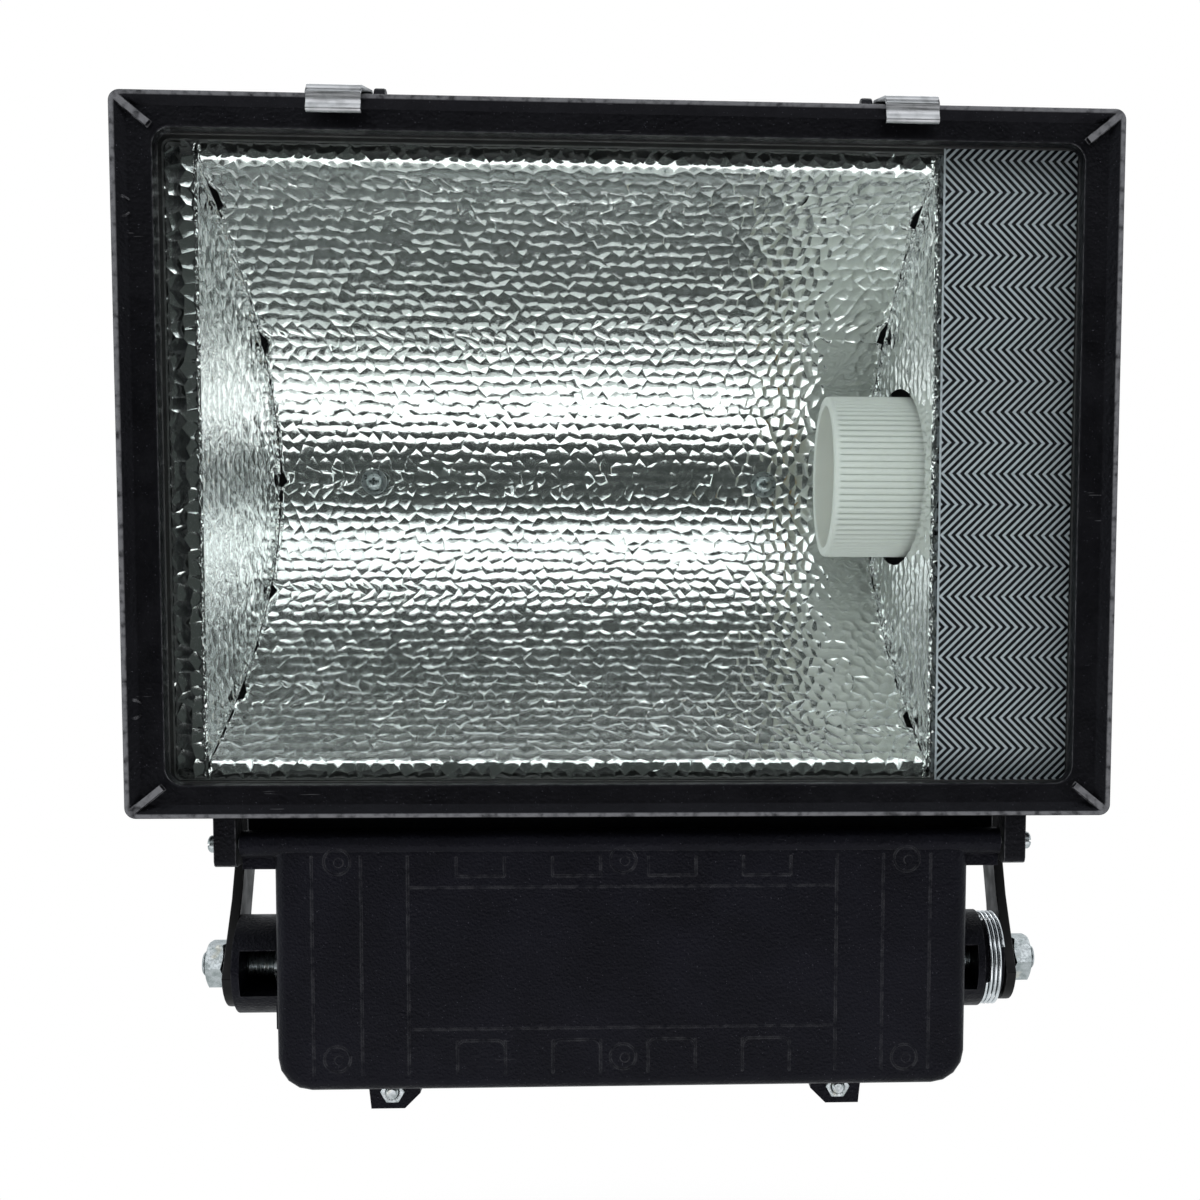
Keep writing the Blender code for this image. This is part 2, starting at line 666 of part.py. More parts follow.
def reflector_ends():
    finish(end_plate("reflector_end_left", -1, LIP_LEFT), HAMMERED)
    right = end_plate("reflector_end_right", 1, LIP_RIGHT)
    cut(right, rod("holder_hole", COLLAR_R + 3.2 * MM, (90 * MM, HOLDER_Y, HOLDER_Z), 40 * MM, "X", 40))
    finish(right, HAMMERED)


def reflector_screws():
    for side, x in zip(("left", "right"), REFLECTOR_SCREWS):
        seat = screw_seat() - SHEET / 2 - GAP
        screw = turned(f"reflector_screw_{side}", [
            (0, 8 * MM), (2 * MM, 8 * MM), (2 * MM, 0), (4.4 * MM, 0), (4.4 * MM, -0.8 * MM),
            (3.8 * MM, -0.8 * MM), (3.4 * MM, -2.4 * MM), (1.6 * MM, -3.2 * MM), (0, -3.2 * MM)],
            (x, seat, 0), "Y", 20)
        finish(screw, ZINC)


# ---------------------------------------------------------------- lamp holder

def lamp_holder():
    at = (0, HOLDER_Y, HOLDER_Z)
    back = MOUTH_X + COLLAR_LONG
    step, bore = MOUTH_X + 20 * MM, SHELL_R + 0.5 * MM
    collar = turned("lampholder_collar", [
        (COLLAR_R, back), (COLLAR_R, MOUTH_X + 1 * MM), (COLLAR_R - 1 * MM, MOUTH_X), (COLLAR_BORE, MOUTH_X),
        (COLLAR_BORE, step), (bore, step + 3 * MM), (bore, back)], at, "X", 32)
    finish(collar, CERAMIC)
    floor, end = back + 9 * MM, HOLDER_PLATE_X - GAP
    body = turned("lampholder_body", [
        (0, end), (25 * MM, end), (27 * MM, end - 4 * MM), (27 * MM, back + GAP), (bore, back + GAP),
        (bore, floor), (0, floor)], at, "X", 32)
    finish(body, CERAMIC)
    shell = turned("lampholder_shell", [
        (SHELL_R, floor - GAP), (SHELL_R, step + 1 * MM), (SHELL_R - 0.8 * MM, step + 1 * MM),
        (SHELL_R - 0.8 * MM, floor - GAP)], at, "X", 32)
    finish(shell, BRASS)
    contact = turned("lampholder_contact", [
        (0, floor - GAP), (9 * MM, floor - GAP), (9 * MM, floor - 1.5 * MM), (6 * MM, floor - 1.5 * MM),
        (5 * MM, floor - 6 * MM), (0, floor - 7 * MM)], at, "X", 20)
    finish(contact, BRASS)
    thick, foot = 2 * MM, 19 * MM
    upright = [(HOLDER_Y - 24 * MM, -24 * MM), (HOLDER_FOOT_Y + thick, -24 * MM), (HOLDER_FOOT_Y + thick, 24 * MM),
               (HOLDER_Y - 24 * MM, 24 * MM)]
    bracket = plate("lampholder_bracket", upright, thick, (HOLDER_PLATE_X + thick / 2, 0, HOLDER_Z), "X")
    join(bracket, block("holder_foot", (HOLDER_PLATE_X - foot, HOLDER_FOOT_Y, HOLDER_Z - 24 * MM),
                        (HOLDER_PLATE_X + thick / 2, HOLDER_FOOT_Y + thick, HOLDER_Z + 24 * MM)))
    finish(bracket, ZINC)


# ---------------------------------------------------------------- gear box

def box_ring(y, inset=0.0, corner=BOX_CORNER):
    return y, rounded(BOX_HALF - inset, BOX_BOTTOM + inset, BOX_TOP - inset, 3 * MM, max(corner - inset, 2 * MM))


def gear_shell():
    """The open-backed box, its front edge rounded in four steps."""
    steps = 4
    rings = []
    for n in range(steps + 1):
        turn = math.pi / 2 * n / steps
        inset = EDGE_R * (1 - math.sin(turn))
        rings.append(box_ring(BOX_FRONT + EDGE_R * (1 - math.cos(turn)), inset))
    rings.append(box_ring(BOX_BACK))
    rings.append(box_ring(BOX_BACK, CAST))
    rings.append(box_ring(BOX_FRONT + CAST, CAST))
    return loft("gear_housing", rings, caps=True)


def lug(n, x, wide_side):
    """One lug under the box, its inner corner cut back further."""
    half, near, far = 10.2 * MM, 1.5 * MM, 6 * MM
    low, high = BOX_BOTTOM - LUG_DROP, BOX_BOTTOM + 2 * MM
    outline = [
        (x + wide_side * (half - far), low), (x + wide_side * half, low + far), (x + wide_side * half, high),
        (x - wide_side * half, high), (x - wide_side * (half - near), low),
    ]
    if wide_side < 0:
        outline.reverse()
    middle = (LUG_FRONT + BOX_BACK) / 2
    return plate(f"lug_{n}", outline, BOX_BACK - LUG_FRONT, (0, middle, 0))


def lug_screw_z():
    return BOX_BOTTOM - 5.2 * MM


def pivot_drum(housing, side):
    """The boss beside the box, with the slot that keeps the bolt's head from turning."""
    name = "left" if side < 0 else "right"
    inner = BOX_HALF - 2 * MM
    if side < 0:
        join(housing, rod("drum_left", DRUM_R, (-DRUM_END, PIVOT_Y, PIVOT_Z), DRUM_END - inner, "X", 40))
    else:
        join(housing, rod("drum_right", DRUM_R, (inner, PIVOT_Y, PIVOT_Z), SPRING_FROM - inner, "X", 40))
        join(housing, rod("drum_hub", HUB_R, (inner, PIVOT_Y, PIVOT_Z), DRUM_END - inner, "X", 32))
    start, end = side * (BOX_HALF + 1.5 * MM), side * SLOT_END[side]
    half = BOLT_AF / 2 + 0.5 * MM
    low = (min(start, end), PIVOT_Y - DRUM_R - 5 * MM, PIVOT_Z - half)
    high = (max(start, end), PIVOT_Y + 10.5 * MM, PIVOT_Z + half)
    cut(housing, block(f"head_slot_{name}", low, high))
    bore = min(side * (BOX_HALF + 5 * MM), side * (DRUM_END + 5 * MM))
    cut(housing, rod(f"bolt_bore_{name}", BOLT_R + 0.3 * MM, (bore, PIVOT_Y, PIVOT_Z), DRUM_END - BOX_HALF, "X", 24))


def gear_housing():
    housing = gear_shell()
    deck = block("deck", (-BAR_HALF, HINGE_Y, DECK_TOP - 11 * MM), (BAR_HALF, DECK_BACK, DECK_TOP))
    bar = rod("hinge_bar", BAR_R, (-BAR_HALF, HINGE_Y, HINGE_Z), 2 * BAR_HALF, "X", 24)
    join(housing, deck, bar)
    for side in (-1, 1):
        pivot_drum(housing, side)
        # a square foot below each drum
        foot = sorted((side * (BOX_HALF - 2 * MM), side * (BOX_HALF + 7 * MM)))
        join(housing, block(f"drum_foot_{side}", (foot[0], PIVOT_Y - 14 * MM, PIVOT_Z - DRUM_R - 3.5 * MM),
                            (foot[1], PIVOT_Y + 6 * MM, PIVOT_Z - 12 * MM)))
        bore = min(side * (BAR_HALF - 14 * MM), side * (BAR_HALF + 2 * MM))
        cut(housing, rod(f"hinge_thread_{side}", HINGE_SHANK_R + 0.15 * MM, (bore, HINGE_Y, HINGE_Z), 16 * MM, "X", 20))
    for n, (x, wide_side) in enumerate(LUGS):
        join(housing, lug(n, x, wide_side))
        cut(housing, rod(f"lug_bore_{n}", 2.7 * MM, (x, LUG_FRONT - 2 * MM, lug_screw_z()),
                         BOX_BACK - LUG_FRONT + 4 * MM, "Y", 16))
    for n, x in enumerate(COVER_TOP_SCREWS):
        post = block(f"cover_post_{n}", (x - 6 * MM, BOX_BACK - 20 * MM, BOX_TOP - 17 * MM),
                     (x + 6 * MM, BOX_BACK, BOX_TOP - 1 * MM))
        join(housing, post)
        cut(housing, rod(f"cover_thread_{n}", 2.2 * MM, (x, BOX_BACK - 14 * MM, TOP_SCREW_Z), 16 * MM, "Y", 16))
    cut(housing, rod("deck_lead_hole", LEAD_HOLE_R, (DECK_LEAD_X, LEAD_Y, DECK_TOP - 14 * MM), 20 * MM, "Z", 16))
    finish(housing, BLACK_CAST)


def neck_gasket():
    outline = rounded(BAR_HALF - 1 * MM, NECK_FRONT + 1 * MM, DECK_BACK - 3 * MM, 3 * MM)
    hole = rounded(BAR_HALF - 6 * MM, NECK_FRONT + 6 * MM, DECK_BACK - 8 * MM, 2 * MM)
    ring = plate("neck_gasket", outline, 1.4 * MM, (0, 0, DECK_TOP + 1 * MM), "Z", [hole])
    finish(ring, SILICONE)


def gear_cover():
    front = BOX_BACK + 2 * MM
    back = front + COVER_DEEP
    rings = [
        box_ring(back - CAST, 5 * MM), box_ring(front, CAST), box_ring(front), box_ring(back - 4 * MM),
        box_ring(back - 1.2 * MM, 1.2 * MM), box_ring(back, 4 * MM),
    ]
    cover = loft("gear_cover", rings, caps=True)
    for n, (x, wide_side) in enumerate(LUGS):
        tab = lug(f"cover_{n}", x, wide_side)
        for vertex in tab.data.vertices:
            vertex.co.y = math.copysign(4 * MM, vertex.co.y)
        tab.location.y = front + 4 * MM
        join(cover, tab)
        cut(cover, rod(f"cover_lug_bore_{n}", 2.7 * MM, (x, front - 2 * MM, lug_screw_z()), 14 * MM, "Y", 16))
    for n, x in enumerate(COVER_TOP_SCREWS):
        post = rod(f"cover_pillar_{n}", 5 * MM, (x, front, TOP_SCREW_Z), COVER_DEEP - 1 * MM, "Y", 20)
        join(cover, post)
        cut(cover, rod(f"cover_top_bore_{n}", 2.5 * MM, (x, front - 2 * MM, TOP_SCREW_Z), COVER_DEEP + 8 * MM, "Y", 16))
    for n in range(7):
        x = (n - 3) * 28 * MM
        if abs(x - GLAND_X) > 20 * MM:
            join(cover, block(f"cover_rib_{n}", (x - 1.3 * MM, back - 1 * MM, BOX_BOTTOM + 14 * MM),
                              (x + 1.3 * MM, back + 3.5 * MM, BOX_TOP - 12 * MM)))
    cut(cover, rod("gland_bore", GLAND_R - 2 * MM, (GLAND_X, back - 8 * MM, GLAND_Z), 20 * MM, "Y", 24))
    finish(cover, BLACK_CAST)
    seal_rings = [
        (BOX_BACK + GAP, box_ring(0, 0.3 * MM)[1]), (front - GAP, box_ring(0, 0.3 * MM)[1]),
        (front - GAP, box_ring(0, CAST - 0.3 * MM)[1]), (BOX_BACK + GAP, box_ring(0, CAST - 0.3 * MM)[1]),
    ]
    finish(loft("gear_cover_seal", seal_rings, caps=False), SILICONE)


def machine_screw(name, place, length, head_r, shank_r):
    """A pan-head screw driven towards the front; place is under its head."""
    screw = turned(name, [
        (0, head_r), (head_r * 0.6, head_r * 0.95), (head_r, head_r * 0.35), (head_r, 0), (shank_r, 0),
        (shank_r, -length), (0, -length)], place, "Y", 16)
    return finish(screw, ZINC)


def cover_fasteners():
    front = BOX_BACK + 2 * MM
    for side, (x, _) in zip(("left", "right"), LUGS):
        reach = front + 8 * MM + GAP - LUG_FRONT + 6.5 * MM
        machine_screw(f"gear_cover_screw_lower_{side}", (x, front + 8 * MM + GAP, lug_screw_z()), reach, 4.5 * MM, 2.4 * MM)
        nut = rod(f"gear_cover_nut_{side}", 4.6 * MM, (x, LUG_FRONT - GAP - 4 * MM, lug_screw_z()), 4 * MM, "Y", 6)
        cut(nut, rod(f"nut_bore_{side}", 2.6 * MM, (x, LUG_FRONT - 10 * MM, lug_screw_z()), 16 * MM, "Y", 16))
        finish(nut, ZINC)
    for side, x in zip(("left", "right"), COVER_TOP_SCREWS):
        seat = front + COVER_DEEP + GAP
        machine_screw(f"gear_cover_screw_upper_{side}", (x, seat, TOP_SCREW_Z), COVER_DEEP + 12 * MM, 4.5 * MM, 2 * MM)


# ---------------------------------------------------------------- control gear

def control_gear():
    tray_z = BOX_BOTTOM + CAST + 3 * MM
    tray = block("gear_tray", (-118 * MM, BOX_FRONT + 8 * MM, tray_z), (118 * MM, BOX_BACK - 4 * MM, tray_z + 1.5 * MM))
    finish(tray, ZINC)
    base = tray_z + 1.5 * MM + GAP
    core = block("ballast_core", (-108 * MM, 22 * MM, base), (-20 * MM, 80 * MM, base + 52 * MM))
    for n, y in enumerate((30 * MM, 58 * MM)):
        cut(core, block(f"core_window_{n}", (-100 * MM, y, base + 18 * MM), (-10 * MM, y + 14 * MM, base + 36 * MM)))
    finish(bevel(core, 1 * MM, 1), LAMINATION)
    coil = block("ballast_coil", (-20 * MM + GAP, 26 * MM, base + 4 * MM), (-6 * MM, 76 * MM, base + 48 * MM))
    finish(bevel(coil, 4 * MM, 2), WINDING)
    ignitor = block("ignitor", (6 * MM, 22 * MM, base), (42 * MM, 62 * MM, base + 38 * MM))
    finish(bevel(ignitor, 2 * MM, 2), WHITE_PLASTIC)
    can_z = base + 20 * MM + GAP
    can = rod("capacitor", 18 * MM, (46 * MM, 44 * MM, can_z), 66 * MM, "X", 32)
    finish(bevel(can, 1.5 * MM, 2), WHITE_PLASTIC)
    clamp = turned("capacitor_clamp", [
        (19.6 * MM, 12 * MM), (19.6 * MM, 0), (18.4 * MM, 0), (18.4 * MM, 12 * MM)],
        (74 * MM, 44 * MM, can_z), "X", 32)
    finish(clamp, ZINC)
    terminals = block("terminal_block", (10 * MM, 66 * MM, base), (60 * MM, 82 * MM, base + 16 * MM))
    for n in range(5):
        x = (15 + 10 * n) * MM
        cut(terminals, rod(f"terminal_hole_{n}", 2.6 * MM, (x, 74 * MM, base + 8 * MM), 12 * MM, "Z", 12))
    finish(terminals, WHITE_PLASTIC)


def cable_gland():
    wall = BOX_BACK + 2 * MM + COVER_DEEP
    at = (GLAND_X, wall, GLAND_Z)
    bore = 6.2 * MM
    body = turned("cable_gland_body", [
        (GLAND_R - 2.4 * MM, 12 * MM), (GLAND_R - 2.4 * MM, 4 * MM), (GLAND_R + 1.5 * MM, 4 * MM),
        (GLAND_R + 1.5 * MM, GAP), (GLAND_R - 2.4 * MM, GAP), (GLAND_R - 2.4 * MM, -8 * MM), (bore, -8 * MM),
        (bore, 12 * MM)], at, "Y", 24)
    finish(body, BLACK_PLASTIC)
    seal = turned("cable_gland_seal", [
        (GLAND_R - 2.6 * MM, 16.5 * MM), (GLAND_R - 2.6 * MM, 12 * MM + GAP), (4.2 * MM, 12 * MM + GAP),
        (4.2 * MM, 16.5 * MM)], at, "Y", 24)
    finish(seal, SILICONE)
    nut = turned("cable_gland_nut", [
        (GLAND_R - 3 * MM, 20 * MM), (GLAND_R + 0.6 * MM, 17.5 * MM), (GLAND_R + 0.6 * MM, 4.5 * MM),
        (GLAND_R - 2 * MM, 4.5 * MM), (GLAND_R - 2 * MM, 16.8 * MM), (5 * MM, 16.8 * MM), (5 * MM, 20 * MM)],
        at, "Y", 24)
    finish(nut, BLACK_PLASTIC)


def lead_points(shift):
    """One lamp lead, from the holder's back down through the neck and the deck to the gear."""
    corners = [
        Vector((140 * MM, HOLDER_Y - 26 * MM + shift, -40 * MM)), Vector((LEAD_X, LEAD_Y + shift, -85 * MM)),
        Vector((LEAD_X, LEAD_Y + shift, -126 * MM)), Vector((120 * MM, LEAD_Y + shift, -131 * MM)),
        Vector((DECK_LEAD_X, LEAD_Y + shift, -140 * MM)), Vector((DECK_LEAD_X, LEAD_Y + shift, -158 * MM)),
        Vector((96 * MM, LEAD_Y + 12 * MM + shift, -172 * MM)),
    ]
    for _ in range(2):  # corner cutting rounds the route
        smooth = [corners[0]]
        for first, second in zip(corners, corners[1:]):
            smooth += [first.lerp(second, 0.25), first.lerp(second, 0.75)]
        corners = smooth + [corners[-1]]
    return corners


def lamp_leads():
    for name, shift in (("lamp_lead_live", -2 * MM), ("lamp_lead_neutral", 2 * MM)):
        finish(tube(name, lead_points(shift), 1.5 * MM), LEAD_SLEEVE)


# ---------------------------------------------------------------- hinge and pivot hardware

def hinge_screws():
    for name, side in (("left", -1), ("right", 1)):
        head = EAR_X + EAR_WIDE + GAP
        screw = turned(f"hinge_screw_{name}", [
            (0, head + 3 * MM), (2.2 * MM, head + 3 * MM), (3.2 * MM, head + 1.8 * MM), (3.2 * MM, head),
            (HINGE_SHANK_R, head), (HINGE_SHANK_R, BAR_HALF - 12 * MM), (0, BAR_HALF - 12 * MM)],
            (0, HINGE_Y, HINGE_Z), "X", 20)
        if side < 0:
            screw.rotation_euler = Matrix.Rotation(-math.pi / 2, 4, "Y").to_euler()
        finish(screw, ZINC)


def pivot_hardware():
    outer = ARM_IN + ARM_THICK
    for name, side in (("left", -1), ("right", 1)):
        centre = Vector((0, PIVOT_Y, PIVOT_Z))

        def span(low, high):
            return centre + Vector((min(side * low, side * high), 0, 0)), high - low

        head_at = BOX_HALF + 2.2 * MM
        start, length = span(head_at, head_at + 6.4 * MM)
        bolt = hexagon(f"pivot_bolt_{name}", BOLT_AF, start, length)
        start, length = span(head_at + 3 * MM, 167.8 * MM)
        shank = rod(f"bolt_shank_{name}", BOLT_R, start, length, "X", 24)
        finish(join(bolt, bevel(shank, 0.8 * MM, 1)), ZINC)
        start, length = span(outer + GAP, outer + GAP + 0.9 * MM)
        washer = rod(f"pivot_washer_{name}", 9.4 * MM, start, length, "X", 32)
        cut(washer, rod(f"washer_bore_{name}", BOLT_R + 0.3 * MM, centre - Vector((0.2, 0, 0)), 0.4, "X", 24))
        finish(washer, ZINC)
        start, length = span(outer + 1.5 * MM, outer + 8.5 * MM)
        nut = hexagon(f"pivot_nut_{name}", BOLT_AF, start, length)
        cut(nut, rod(f"nut_hole_{name}", BOLT_R + 0.3 * MM, centre - Vector((0.2, 0, 0)), 0.4, "X", 24))
        finish(nut, ZINC)


def pivot_spring():
    """The coil round the right-hand hub: both cut ends face the front."""
    per_turn = 20
    steps = round(SPRING_TURNS * per_turn)
    first_end = math.radians(25.6)
    right = DRUM_END - 0.5 * MM - SPRING_WIRE / 2
    points = []
    for n in range(steps + 1):
        turn = first_end + 2 * math.pi * SPRING_TURNS * n / steps
        points.append((right - SPRING_PITCH * SPRING_TURNS * n / steps,
                       PIVOT_Y - SPRING_R * math.cos(turn), PIVOT_Z + SPRING_R * math.sin(turn)))
    finish(tube("pivot_spring", points, SPRING_WIRE / 2), ZINC)


# ---------------------------------------------------------------- stirrup

def stirrup():
    """A flat steel stirrup: arms with round eyes, flaring into the wider base."""
    half, bend = ARM_IN + ARM_THICK, 10 * MM
    top, inner = ARM_LONG, bend - ARM_THICK
    low = -EYE_R - 1 * MM
    outline = [(half, low)] + arc((half - bend, top - bend), bend, 0, 90, 6)
    outline += arc((bend - half, top - bend), bend, 90, 180, 6) + [(-half, low), (-ARM_IN, low)]
    outline += arc((bend - half, top - bend), inner, 180, 90, 6) + arc((half - bend, top - bend), inner, 90, 0, 6)
    outline += [(ARM_IN, low)]
    strap = plate("bracket", outline, 2 * EYE_R + 6 * MM)
    side = arc((0, 0), EYE_R, 212, 328, 10)
    flare = ARM_LONG - 30 * MM
    side += [(ARM_WIDE / 2, 24 * MM), (ARM_WIDE / 2, flare - 25 * MM), (BASE_WIDE / 2, flare), (BASE_WIDE / 2, top + 5 * MM)]
    side += [(-y, z) for y, z in side[:-5:-1]]
    boolean(strap, plate("arm_outline", side, 2 * half + 20 * MM, axis="X"), "INTERSECT")
    cut(strap, rod("arm_bore", BOLT_R + 0.35 * MM, (-half - 10 * MM, 0, 0), 2 * half + 20 * MM, "X", 24))
    for n, x in enumerate((-60 * MM, 60 * MM)):
        slot = arc((x + 5 * MM, 0), 5.25 * MM, -90, 90, 8) + arc((x - 5 * MM, 0), 5.25 * MM, 90, 270, 8)
        cut(strap, plate(f"base_slot_{n}", slot, 20 * MM, (0, 0, top), "Z"))
    # the stirrup and its cutters are drawn about the pivot and lean back with it
    for obj in [strap] + [m.object for m in strap.modifiers]:
        obj.parent = PIVOT
    strap.data.materials.clear()
    strap.data.materials.append(material("bracket", *BLACK_STEEL[1:]))


door_frame()
glass_and_seal()
glass_clips()
latches()
lamp_housing()
reflector_trough()
reflector_ends()
reflector_screws()
lamp_holder()
gear_housing()
neck_gasket()
gear_cover()
cover_fasteners()
control_gear()
cable_gland()
lamp_leads()
hinge_screws()
pivot_hardware()
pivot_spring()
stirrup()
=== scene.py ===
"""The looks of the grow lamp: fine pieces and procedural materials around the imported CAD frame.

Shapes are written in millimetres in the lamp's own coordinates: x to the right, y back from the rim of
the door frame, z up from the middle of the glass. ORIGIN is where that point is in the row frame.
"""
import json
import math

import bmesh
import bpy
import numpy as np
from mathutils import Matrix, Vector

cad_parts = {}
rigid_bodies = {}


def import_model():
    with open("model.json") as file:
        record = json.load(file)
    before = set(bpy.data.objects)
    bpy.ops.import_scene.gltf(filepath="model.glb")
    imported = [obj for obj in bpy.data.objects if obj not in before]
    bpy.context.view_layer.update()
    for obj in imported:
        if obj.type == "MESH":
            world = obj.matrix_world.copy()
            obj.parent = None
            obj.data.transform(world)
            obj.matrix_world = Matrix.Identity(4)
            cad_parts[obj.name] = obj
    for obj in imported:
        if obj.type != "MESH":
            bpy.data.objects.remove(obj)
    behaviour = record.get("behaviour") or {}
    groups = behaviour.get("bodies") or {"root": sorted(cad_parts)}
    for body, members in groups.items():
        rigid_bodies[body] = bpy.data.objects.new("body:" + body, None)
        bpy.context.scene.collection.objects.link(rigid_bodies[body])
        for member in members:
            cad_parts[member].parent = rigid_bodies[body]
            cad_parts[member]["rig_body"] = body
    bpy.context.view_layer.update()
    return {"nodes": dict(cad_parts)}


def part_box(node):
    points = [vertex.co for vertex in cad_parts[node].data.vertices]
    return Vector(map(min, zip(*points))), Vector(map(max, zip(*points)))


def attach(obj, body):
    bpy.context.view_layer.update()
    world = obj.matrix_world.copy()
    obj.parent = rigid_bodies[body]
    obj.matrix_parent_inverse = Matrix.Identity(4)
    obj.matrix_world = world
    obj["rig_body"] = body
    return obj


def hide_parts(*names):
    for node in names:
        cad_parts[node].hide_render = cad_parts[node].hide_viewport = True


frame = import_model()

MM = 0.001
HALF_HIGH = 128             # half the height of the door frame
LOW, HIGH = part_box("door_frame")
ORIGIN = Vector(((LOW.x + HIGH.x) / 2, LOW.y, HIGH.z - HALF_HIGH * MM))


def lamp_box(node):
    """A CAD node's lowest and highest corners, in millimetres of the lamp."""
    low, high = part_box(node)
    return (low - ORIGIN) / MM, (high - ORIGIN) / MM


# ---- materials

def fill(node, **values):
    """Sets a node's inputs by name; an underscore stands for a space."""
    for name, value in values.items():
        node.inputs[name.replace("_", " ")].default_value = value


def show_mix(tree, share, first, second):
    """Sends a mix of two shaders to a node tree's output."""
    mix = tree.nodes.new("ShaderNodeMixShader")
    for socket, source in zip(mix.inputs, (share, first, second)):
        tree.links.new(source, socket)
    output = next(node for node in tree.nodes if node.bl_idname.startswith("ShaderNodeOutput"))
    tree.links.new(mix.outputs[0], output.inputs["Surface"])


class Look:
    """A procedural material. Its patterns are measured in millimetres on the object."""

    def __init__(self, name, colour, roughness, metallic=0.0):
        self.material = bpy.data.materials.new(name)
        self.material.use_nodes = True
        self.nodes = self.material.node_tree.nodes
        self.links = self.material.node_tree.links
        self.shader = self.nodes["Principled BSDF"]
        fill(self.shader, Base_Color=(*colour, 1), Roughness=roughness, Metallic=metallic)
        place = self.nodes.new("ShaderNodeTexCoord")
        self.mm = self.vector("SCALE", place.outputs["Object"], factor=1 / MM)
        self.normal = None

    def put(self, socket, value):
        if isinstance(value, bpy.types.NodeSocket):
            self.links.new(value, socket)
        else:
            socket.default_value = value

    def vector(self, operation, first, second=None, factor=None):
        node = self.nodes.new("ShaderNodeVectorMath")
        node.operation = operation
        self.put(node.inputs[0], first)
        if second is not None:
            self.put(node.inputs[1], second)
        if factor is not None:
            node.inputs["Scale"].default_value = factor
        return node.outputs[0]

    def stretched(self, x, y, z):
        """The place with each axis multiplied, so that a pattern is drawn out along the small ones."""
        return self.vector("MULTIPLY", self.mm, (x, y, z))

    def axes(self):
        node = self.nodes.new("ShaderNodeSeparateXYZ")
        self.links.new(self.mm, node.inputs[0])
        return node.outputs

    def noise(self, size, detail=2.0, where=None, roughness=0.5):
        node = self.nodes.new("ShaderNodeTexNoise")
        self.links.new(where or self.mm, node.inputs["Vector"])
        fill(node, Scale=1 / size, Detail=detail, Roughness=roughness)
        return node.outputs["Fac"]

    def cells(self, size):
        node = self.nodes.new("ShaderNodeTexVoronoi")
        self.links.new(self.mm, node.inputs["Vector"])
        fill(node, Scale=1 / size)
        return node.outputs["Distance"]

    def sum(self, operation, first, second=0.0, third=0.0):
        node = self.nodes.new("ShaderNodeMath")
        node.operation = operation
        for socket, value in zip(node.inputs, (first, second, third)):
            self.put(socket, value)
        return node.outputs[0]

    def times(self, first, second):
        return self.sum("MULTIPLY", first, second)

    def step(self, value, low, high, start=0.0, end=1.0):
        """A smooth change from start to end as the value goes from low to high."""
        node = self.nodes.new("ShaderNodeMapRange")
        node.interpolation_type = "SMOOTHSTEP"
        for socket, given in zip(node.inputs, (value, low, high, start, end)):
            self.put(socket, given)
        return node.outputs["Result"]

    def blend(self, share, first, second):
        node = self.nodes.new("ShaderNodeMix")
        node.data_type = "RGBA"
        self.put(node.inputs["Factor"], share)
        for socket, value in ((node.inputs[6], first), (node.inputs[7], second)):
            self.put(socket, value if isinstance(value, bpy.types.NodeSocket) else (*value, 1))
        return node.outputs[2]

    def edges(self, reach=0.7):
        """1 on the edges of a piece, where paint wears."""
        node = self.nodes.new("ShaderNodeNewGeometry")
        round_off = self.nodes.new("ShaderNodeBevel")
        round_off.samples = 4
        fill(round_off, Radius=reach * MM)
        across = self.vector("DOT_PRODUCT", round_off.outputs[0], node.outputs["Normal"])
        return self.step(across.node.outputs["Value"], 0.985, 0.9)

    def painted_hollow_shade(self, low=0.42, high=0.495):
        """1 where a finely meshed surface is sunk in; the looks darken it there as painted shade."""
        node = self.nodes.new("ShaderNodeNewGeometry")
        return self.step(node.outputs["Pointiness"], high, low)

    def paint(self, colour):
        self.links.new(colour, self.shader.inputs["Base Color"])
        return self

    def rough(self, value):
        self.links.new(value, self.shader.inputs["Roughness"])
        return self

    def relief(self, height, depth):
        """Adds bumps whose full height is depth millimetres."""
        node = self.nodes.new("ShaderNodeBump")
        fill(node, Strength=1.0, Distance=depth * MM)
        self.links.new(height, node.inputs["Height"])
        if self.normal is not None:
            self.links.new(self.normal, node.inputs["Normal"])
        self.normal = node.outputs["Normal"]
        self.links.new(self.normal, self.shader.inputs["Normal"])
        return self


